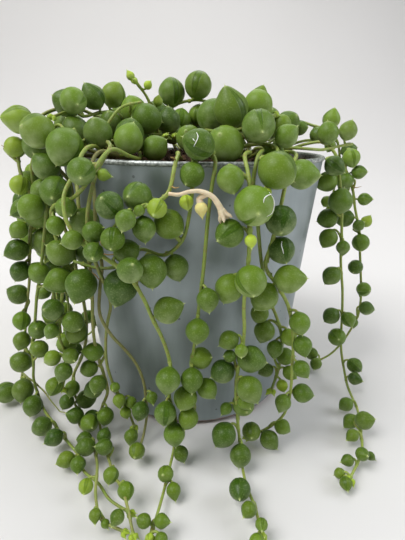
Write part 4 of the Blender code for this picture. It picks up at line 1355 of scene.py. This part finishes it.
# Roots in the air: how far along the stem, which way and how long, in mm.
ROOT_PLACES = {
    "woody_left": ((44, (1, -0.3, -0.5), 16), (46, (1, -0.2, -0.8), 12), (58, (1, -0.4, -0.2), 11)),
    "left_outer": ((98, (-0.5, -0.6, -0.6), 8), (60, (-1, -0.3, 0.2), 7), (150, (29, -18, -12), 34)),
    "front_arch": ((22, (-0.8, -0.6, 0.7), 5), (30, (0.9, -0.3, -0.3), 3)),
    "front_return": ((14, (0.4, -0.8, -0.2), 4),),
    "left_fourth": ((64, (0.8, -0.6, -0.3), 6),),
    "far_right_back": ((50, (0.7, -0.6, -0.4), 5),),
}
print(len(UNRUBBED_BLOOM_AND_TOP_LIGHT), "leaves keep all their bloom and", len(POINTED), "are long and pointed")

# %% Strands
STEM_FINENESS = 1.3  # mm between the rings of a stem
WOOD_REACH = 16.0  # mm over which a stem turns from half wood to green
FINE_FROM = 5.5  # mm: a smaller pearl has a coarser mesh
pearl_count = 0

for name, _, _ in stems:
    begin, finish, beads = plants.spans[name]
    joints = plants.joint[begin:finish]
    path = smooth_route(joints, STEM_FINENESS)
    along = np.linspace(0, 1, len(path))
    length = route_length(path)
    radii = 0.62 - 0.17 * along**1.5
    for k in beads:
        away = np.linalg.norm(path - roots[k], axis=1)
        radii = radii + 0.13 * np.exp(-((away / 0.8) ** 2))
    wood = np.clip(0.5 - along * length / WOOD_REACH, 0, 1) + OLD_STEMS.get(name, 0.0)
    shade = random.uniform(0.0, 0.7) * (name not in YOUNG_STEMS)
    growth = Growth()
    add_tube(growth, path, radii, 8, STEM, tone=shade, wood=np.clip(wood, 0, 1))
    for k in beads:
        centre, radius = plants.pearl[k], float(plants.radius[k])
        number = k - beads[0]
        reach = (plants.root[k] + plants.share[k] - begin) / max(finish - begin - 1, 1)
        outward = unit((centre[0], centre[1], 0.0))
        facing, window, age = LEAVES.get(name, {}).get(number, (None, None, None))
        usual = usual_axis(centre, roots[k]) + random.normal(0, 0.22, 3)
        axis = unit(facing) if facing else pearl_axis(centre, roots[k], usual)
        hint = np.array((0, 0, 0.7)) - 0.9 * outward + random.normal(0, 0.35, 3)
        hint = unit(window) if window else hint
        tender = YOUNG_STEMS.get(name, 0.1 * max(0.0, reach - 0.8) / 0.2)
        youth = tender + max(0.0, random.normal(0.03, 0.07))
        youth = youth if age is None else age
        drawn = np.interp(2 * radius, [4.5, 7, 10], [0.21, 0.14, 0.08]) * random.uniform(0.5, 1.5)
        drawn = LONG_DRAWN if (name, number) in POINTED else drawn
        # painted light and shade: a leaf is coloured lighter the higher it hangs and darker near the
        # floor
        painted_light_by_height = np.interp(centre[2], [0, 40, 70, 105], [0.15, 0.35, 0.45, 0.55])
        axis = clear_of_floor(centre, axis, radius * (1 + drawn) + POINT_LENGTH)
        tone = float(np.clip(painted_light_by_height + random.normal(0, 0.25), 0, 1))
        add_pearl(
            growth,
            centre,
            radius,
            axis,
            hint,
            random.uniform(0.13, 0.24),
            float(drawn),
            tone,
            min(youth, 1.0),
            2 * radius > FINE_FROM,
            0.0 if (name, number) in UNRUBBED_BLOOM_AND_TOP_LIGHT else random.uniform(0, 0.7),
        )
        add_petiole(growth, roots[k], centre, radius, axis, 0.2)
        pearl_count += 1
    for stem, number, line in SCARS:
        if stem == name:
            k = beads[0] + number
            add_scar(growth, plants.pearl[k], float(plants.radius[k]), line)
    if name not in CUT_STEMS:
        add_tuft(growth, path[-1], unit(path[-1] - path[-3]))
    for place_along, heading, root_length in ROOT_PLACES.get(name, ()):
        start = path[min(int(place_along / length * (len(path) - 1)), len(path) - 1)]
        add_root(growth, start, heading, root_length)
    strand = growth.finished(f"{name}_strand", [leaf, stem_skin, fibre])
    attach(strand, "root")
    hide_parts(name)
print("grew", pearl_count, "pearls")

# %% [markdown]
# ## The withered flower stalk
#
# It springs from the arching stem at the front, bends over and ends in a torn papery cup, with one
# pale pointed bud hanging from it. The cup's sepals are thin tapered strips, so they are round tubes
# that narrow to a point rather than sheets with no thickness.

# %% Stalk
STALK_ALONG = 31.0  # mm along the stem front_arch, where the stalk springs
STALK_OFFSET = (0.6, -1.95, 0.4)
STALK_BENDS = (
    (3.2, -2.2, 0.2), (5.8, -2.4, 1.0), (8.8, -2.4, 1.2), (11.9, -2.4, 0.0), (13.7, -2.4, -2.2),
    (15.0, -2.4, -4.6),
)
STALK_BUD = (9.2, -2.2, -3.4)
STALK_BUD_SIZE = 4.0

begin, finish, _ = plants.spans["front_arch"]
arch = plants.joint[begin:finish]
place_on_arch = STALK_ALONG / route_step(arch)
joint = int(place_on_arch)
start = arch[joint] + (arch[joint + 1] - arch[joint]) * (place_on_arch - joint)
stalk_path = smooth_route(start + np.array([STALK_OFFSET, *STALK_BENDS]), 0.7)
growth = Growth()
spread = np.linspace(0, 1, len(stalk_path))
add_tube(growth, stalk_path, 0.52 + 0.5 * spread**2, 8, 0)
cup = stalk_path[-1]
heading = unit(stalk_path[-1] - stalk_path[-4])
first, second = square_to(heading, np.array((0.0, -1.0, 0.2)))
for k in range(4):
    turn = 2 * math.pi * (k + 0.3) / 4
    splay = math.cos(turn) * first + math.sin(turn) * second
    sepal = [
        cup - heading * 1.0 + splay * 0.35,
        cup + heading * 0.4 + splay * 0.8,
        cup + heading * 1.3 + splay * (1.2 + 0.4 * (k % 2)),
        cup + heading * (1.9 + 0.5 * (k % 3)) + splay * 1.9,
    ]
    sepal_path = smooth_route(sepal, 0.4)
    share = np.linspace(0, 1, len(sepal_path))
    add_tube(growth, sepal_path, 0.75 - 0.1 * share - 0.5 * share**4, 7, 0)
bud = start + np.array(STALK_BUD)
hung_from = stalk_path[np.argmin(np.linalg.norm(stalk_path - bud, axis=1))]
bud_axis = unit((0.15, -0.2, -1.0))
neck = smooth_route([hung_from, bud - bud_axis * 2.8, bud - bud_axis * 1.0], 0.5)
add_tube(growth, neck, np.linspace(0.45, 1.05, len(neck)), 8, 0)
bud_hint = np.array((0, -1, 0.2))
add_pearl(growth, bud, 0.44 * STALK_BUD_SIZE, bud_axis, bud_hint, 0.2, 0.4, 0, 0, False)
# the whole bud is as pale as a leaf's point
growth.values["tip"][-1] = np.clip(growth.values["tip"][-1] + 0.75, 0, 1)
stalk = growth.finished("withered_stalk", [stalk_skin])
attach(stalk, "root")
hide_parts("dried_flower_stalk")
print("stalk of", round(route_length(stalk_path), 1), "mm")

# %% [markdown]
# ## The pot's metal
#
# Thin steel sheet, zinc coated and dulled to a satin blue-grey. Soft upright streaks of lighter
# colour are painted reflections of the room, and they vary the roughness too. Weather has left a few
# dark specks and a line of rust where the bottom edge stood wet. The folded rim has been rubbed, so
# bare zinc shows there, brighter and finely speckled. The streaks are a noise stretched along Z, and
# the rust follows height, which an image would have to be painted for.

# %% Satin coated steel
RUST_WANDER = 1.6  # mm: how far the ragged edge of the rust wanders up and down

steel, tree, shader, place = start_material(
    "satin_zinc_coated_steel", {"Metallic": 0.7, "Specular IOR Level": 0.5}
)
height = add_node(tree, "ShaderNodeSeparateXYZ", {0: place}).outputs["Z"]
stretch = add_node(
    tree, "ShaderNodeMapping", {"Vector": place, "Scale": (1.0, 1.0, 0.12)}, vector_type="POINT"
).outputs["Vector"]
painted_reflection_streaks = add_node(
    tree,
    "ShaderNodeTexNoise",
    {"Vector": stretch, "Scale": per_metre(14.0), "Detail": 4.0, "Roughness": 0.6},
).outputs["Fac"]
clouds = add_node(
    tree, "ShaderNodeTexNoise", {"Vector": place, "Scale": per_metre(9.0), "Detail": 5.0}
).outputs["Fac"]
specks = add_node(
    tree, "ShaderNodeTexVoronoi", {"Vector": place, "Scale": per_metre(7.0), "Randomness": 1.0}
).outputs["Distance"]
rust_height = add_node(
    tree, "ShaderNodeMath", {0: clouds, 1: RUST_WANDER * MM, 2: height}, operation="MULTIPLY_ADD"
).outputs["Value"]
wear = {}
for mark, value, low, high, least, most in (
    ("clouds", clouds, 0.35, 0.7, 0.0, 0.4),
    ("specks", specks, 0.05, 0.08, 0.55, 0.0),
    ("rust", rust_height, 1.3 * MM, 2.1 * MM, 0.9, 0.0),
    ("dullness", painted_reflection_streaks, 0.3, 0.7, 0.34, 0.48),
):
    ramp = {"Value": value, "From Min": low, "From Max": high, "To Min": least, "To Max": most}
    wear[mark] = add_node(tree, "ShaderNodeMapRange", ramp).outputs["Result"]
colour = linear("6c7674")
for amount, layer in (
    # painted reflection: lighter upright streaks where the room shows in the satin metal
    (painted_reflection_streaks, "b4bec2"),
    (wear["clouds"], "8a9493"),
    (wear["specks"], "33322c"),
    (wear["rust"], "8a5a45"),
):
    mix = {0: amount, MIX_FIRST: colour, MIX_SECOND: linear(layer)}
    colour = add_node(tree, "ShaderNodeMix", mix, data_type="RGBA").outputs[MIX_RESULT]
tree.links.new(colour, shader.inputs["Base Color"])
tree.links.new(wear["dullness"], shader.inputs["Roughness"])
dents = add_node(tree, "ShaderNodeBump", {"Height": clouds, "Strength": 0.12, "Distance": 0.3 * MM})
tree.links.new(dents.outputs["Normal"], shader.inputs["Normal"])

zinc, tree, shader, place = start_material("rubbed_zinc", {"Metallic": 0.6, "Roughness": 0.42})
rubs = add_node(
    tree, "ShaderNodeTexNoise", {"Vector": place, "Scale": per_metre(0.9), "Detail": 4.0}
).outputs["Fac"]
rub_shade = add_node(
    tree,
    "ShaderNodeMapRange",
    {"Value": rubs, "From Min": 0.35, "From Max": 0.65, "To Min": 0.0, "To Max": 1.0},
).outputs["Result"]
mix = {0: rub_shade, MIX_FIRST: linear("777d79"), MIX_SECOND: linear("c6cac6")}
speckled = add_node(tree, "ShaderNodeMix", mix, data_type="RGBA").outputs[MIX_RESULT]
tree.links.new(speckled, shader.inputs["Base Color"])
worn = add_node(tree, "ShaderNodeBump", {"Height": rubs, "Strength": 0.3, "Distance": 0.1 * MM})
tree.links.new(worn.outputs["Normal"], shader.inputs["Normal"])
print("materials", steel.name, zinc.name)

# %% [markdown]
# ## The pot
#
# A press draws the tapered shell from sheet and a second tool folds its edge outwards into a bead.
# It is turned here from its real section, with enough sides to look round and the sheet's slight
# waviness worked in.

# %% Turn the pot
POT_SIDES = 180
WALL_ROWS = 40
WALL = 0.9  # mm
BASE_THICKNESS = 1.2
WAVINESS = 0.1  # mm
SHARP_FROM = math.radians(50)

fold = POT_HEIGHT - 1.5
wall_levels = np.linspace(1.9, fold - 0.1, WALL_ROWS)
# the section, in radii and heights: under the base, up the wall, over the rim and down inside
base = [
    (0, 0), (BASE_RADIUS - 0.7, 0), (BASE_RADIUS - 0.15, 0.25), (BASE_RADIUS + 0.22, 0.7),
    (BASE_RADIUS + 0.34, 1.2), (BASE_RADIUS + 0.3, 1.6),
]
wall = [(wall_radius(level), level) for level in wall_levels]
rim = [
    (RIM_RADIUS + out, fold + rise)
    for out, rise in ((0.2, 0.05), (0.5, 0.3), (0.6, 0.7), (0.5, 1.1), (0.2, 1.4))
]
rim += [
    (RIM_RADIUS - inward, POT_HEIGHT - drop)
    for inward, drop in ((0.2, 0), (0.75, 0.05), (1.1, 0.3), (1.25, 0.8))
]
rim.append((wall_radius(fold) - WALL, fold))
inside = [
    (wall_radius(60) - WALL, 60), (BASE_RADIUS - WALL, BASE_THICKNESS), (0, BASE_THICKNESS),
]
profile = base + wall + rim + inside
first_rim_row = len(base + wall)
last_rim_row = first_rim_row + len(rim)

turns = 2 * math.pi * np.arange(POT_SIDES) / POT_SIDES
rings = []
for radius, level in profile[1:-1]:
    wave = WAVINESS * (np.sin(3 * turns + level / 17) + 0.6 * np.sin(7 * turns - level / 11))
    wide = radius + wave * min(1.0, level / 20)
    rings.append(np.stack([wide * np.cos(turns), wide * np.sin(turns), np.full(POT_SIDES, level)], 1))
points = np.concatenate([[(0, 0, profile[0][1])], *rings, [(0, 0, profile[-1][1])]])
mesh = bpy.data.meshes.new("folded_rim_pot")
mesh.from_pydata(
    (points * MM).tolist(), [], grid_faces(len(rings), POT_SIDES, 0, len(points) - 1)
)
# the fans at both ends come first, alternately, and then the walls row by row
ends = np.tile((0, len(rings)), POT_SIDES)
rows = np.concatenate([ends, np.repeat(range(1, len(rings)), POT_SIDES)])
on_rim = [int(first_rim_row <= row + 1 <= last_rim_row) for row in rows]
mesh.polygons.foreach_set("material_index", on_rim)
mesh.materials.append(steel)
mesh.materials.append(zinc)
mesh.shade_smooth()
mesh.set_sharp_from_angle(angle=SHARP_FROM)
pot = bpy.data.objects.new("folded_rim_pot", mesh)
bpy.context.scene.collection.objects.link(pot)
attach(pot, "root")
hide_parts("pot")
print("pot", POT_SIDES, "sides,", len(profile), "rows")

# %% [markdown]
# ## The compost
#
# Bark and peat, nearly black where damp, with paler crumbs on top. The ground is a mound with
# lumps pushed up by noise, and loose chips of bark lie on it as pieces of their own shape, because
# a bump alone has no edges to catch the light.

# %% Peat and bark
peat, tree, shader, place = start_material(
    "damp_peat", {"Roughness": 0.95, "Specular IOR Level": 0.25}
)
crumb = add_node(
    tree, "ShaderNodeTexNoise", {"Vector": place, "Scale": per_metre(2.2), "Detail": 6.0}
).outputs["Fac"]
mix = {0: crumb, MIX_FIRST: linear("1a110b"), MIX_SECOND: linear("5a402c")}
earth = add_node(tree, "ShaderNodeMix", mix, data_type="RGBA").outputs[MIX_RESULT]
tree.links.new(earth, shader.inputs["Base Color"])
lumps = add_node(tree, "ShaderNodeBump", {"Height": crumb, "Strength": 0.8, "Distance": 0.8 * MM})
tree.links.new(lumps.outputs["Normal"], shader.inputs["Normal"])

chip_bark, tree, shader, place = start_material("bark_chip", {"Roughness": 0.9})
tone = add_node(tree, "ShaderNodeAttribute", attribute_name="tone").outputs["Fac"]
grain = add_node(
    tree, "ShaderNodeTexNoise", {"Vector": place, "Scale": per_metre(0.8), "Detail": 3.0}
).outputs["Fac"]
colour = linear("2e1d12")
for amount, layer in ((tone, "8a6844"), (grain, "3d2a1c")):
    mix = {0: amount, MIX_FIRST: colour, MIX_SECOND: linear(layer)}
    colour = add_node(tree, "ShaderNodeMix", mix, data_type="RGBA").outputs[MIX_RESULT]
tree.links.new(colour, shader.inputs["Base Color"])
print("materials", peat.name, chip_bark.name)

# %% Ground and chips
SOIL_COLUMNS, SOIL_ROWS = 120, 34
CHIPS = 420
CHIP_REACH = 46.5  # mm from the pot's axis
growth = Growth()
turns = 2 * math.pi * np.arange(SOIL_COLUMNS) / SOIL_COLUMNS
outer = wall_radius(POT_HEIGHT - SOIL_EDGE_DEPTH) - WALL - 0.4


def soil_spot(radius, turn):
    """A point of the soil's surface, pushed up and down by lumps of 5 mm and crumbs of 1.7 mm."""
    spot = Vector((radius * math.cos(turn), radius * math.sin(turn), 0.0))
    lump = 0.7 * noise.noise(spot / 5) + 0.45 * noise.noise(spot / 1.7)
    return (spot.x, spot.y, soil_top(radius) + lump - 0.3)


rings = [
    [soil_spot(outer * row / SOIL_ROWS, turn) for turn in turns] for row in range(1, SOIL_ROWS + 1)
]
depth = BASE_THICKNESS + 0.4
rings.append([(0.8 * x, 0.8 * y, depth) for x, y, _ in rings[-1]])  # down to the pot's base
points = np.array([soil_spot(0, 0), *(p for ring in rings for p in ring), (0, 0, depth)])
faces = grid_faces(len(rings), SOIL_COLUMNS, 0, len(points) - 1)
growth.add(points, [face[::-1] for face in faces], 0)

cube = np.array([(x, y, z) for z in (-1, 1) for y in (-1, 1) for x in (-1, 1)], float)
cube_faces = [(0, 2, 3, 1), (4, 5, 7, 6), (0, 1, 5, 4), (2, 6, 7, 3), (0, 4, 6, 2), (1, 3, 7, 5)]
for _ in range(CHIPS):
    radius = CHIP_REACH * math.sqrt(random.uniform(0, 1))
    x, y, z = soil_spot(radius, random.uniform(0, 2 * math.pi))
    size = random.uniform(0.35, 1.5) * np.array([1.0, random.uniform(0.4, 0.8), 0.35])
    corners = cube * size * random.uniform(0.7, 1.15, (8, 1))
    spin = np.array(Matrix.Rotation(random.uniform(0, math.pi), 3, random.normal(0, 1, 3).tolist()))
    chip = corners @ spin.T + (x, y, z + 0.3)
    growth.add(chip, cube_faces, 1, tone=random.uniform(0, 1) ** 2)
compost = growth.finished("compost_and_bark", [peat, chip_bark])
compost.data.set_sharp_from_angle(angle=math.radians(40))
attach(compost, "root")
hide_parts("soil")
print("compost with", CHIPS, "chips")

# %% [markdown]
# ## The floor
#
# A pale matt paper sweep: a floor that curves up into a wall, so that there is no line behind the
# pot. A flat floor and a coloured background would do, but only a real surface takes the pot's
# shadow and fades away behind it. The paper is matt, with the faintest unevenness.

# %% Pale sweep
# Back and up from the pot, in metres.
SWEEP = (
    (-1.6, 0), (0.25, 0), (0.55, 0.02), (0.85, 0.1), (1.1, 0.27), (1.25, 0.55), (1.3, 0.95),
    (1.3, 2.2),
)
HALF_WIDTH = 2.2  # metres
sweep_line = smooth_route([(0.0, y / MM, z / MM) for y, z in SWEEP], 40.0) * MM
points = [(x, y, z) for _, y, z in sweep_line for x in (-HALF_WIDTH, HALF_WIDTH)]
faces = [(2 * k, 2 * k + 1, 2 * k + 3, 2 * k + 2) for k in range(len(sweep_line) - 1)]
mesh = bpy.data.meshes.new("pale_sweep")
mesh.from_pydata(points, [], faces)
mesh.shade_smooth()
sweep = bpy.data.objects.new("pale_sweep", mesh)
bpy.context.scene.collection.objects.link(sweep)
paper, tree, shader, place = start_material("pale_matt_paper", {"Roughness": 0.9})
tint = add_node(tree, "ShaderNodeTexNoise", {"Vector": place, "Scale": per_metre(400.0)})
mix = {0: tint.outputs["Fac"], MIX_FIRST: linear("d7d5d2"), MIX_SECOND: linear("dcdad8")}
pale = add_node(tree, "ShaderNodeMix", mix, data_type="RGBA").outputs[MIX_RESULT]
tree.links.new(pale, shader.inputs["Base Color"])
mesh.materials.append(paper)
print("sweep of", len(sweep_line), "rows")

# %% [markdown]
# ## The light
#
# A bright room: a large soft window high on the left, a weaker one on the right, a wash on the
# wall and pale surroundings that are dimmer on the viewer's side. One sun lamp would be simpler,
# but only large soft lights give satin leaves their wide, quiet highlights and the pot its dark
# middle.

# %% Lights
# The name, where it stands and what it points at, its side in metres, its watts and its colour.
LIGHTS = (
    ("window_left", (-0.65, -0.5, 1.15), (0, 0, 0.06), 0.8, 15.5, "ffffff"),
    ("window_right", (1.0, -0.15, 0.7), (0, 0, 0.06), 0.7, 5.5, "f2f6ff"),
    ("room_behind", (0.1, 0.7, 1.1), (0, 0, 0.06), 0.9, 4.5, "ffffff"),
    ("wall_wash", (-0.7, 0.3, 1.3), (-0.4, 1.3, 0.6), 0.6, 3.2, "ffffff"),
)
for name, spot, aim, size, watts, colour in LIGHTS:
    data = bpy.data.lights.new(name, "AREA")
    data.size = size
    data.energy = watts
    data.color = linear(colour)[:3]
    lamp = bpy.data.objects.new(name, data)
    bpy.context.scene.collection.objects.link(lamp)
    lamp.location = spot
    lamp.rotation_euler = (Vector(aim) - Vector(spot)).to_track_quat("-Z", "Y").to_euler()

DIM, BRIGHT = 0.1, 0.47  # the room's glow behind the camera and everywhere else
world = bpy.data.worlds.new("pale_room")
bpy.context.scene.world = world
world.use_nodes = True
tree = world.node_tree
room = tree.nodes["Background"]
room.inputs["Color"].default_value = linear("f4f6f8")
direction = add_node(tree, "ShaderNodeTexCoord").outputs["Generated"]
depth_of_room = add_node(tree, "ShaderNodeSeparateXYZ", {0: direction}).outputs["Y"]
brightness = add_node(
    tree,
    "ShaderNodeMapRange",
    {"Value": depth_of_room, "From Min": -0.95, "From Max": -0.3, "To Min": DIM, "To Max": BRIGHT},
).outputs["Result"]
tree.links.new(brightness, room.inputs["Strength"])
bpy.context.scene.view_settings.view_transform = "Standard"
print("lights:", [light[0] for light in LIGHTS])
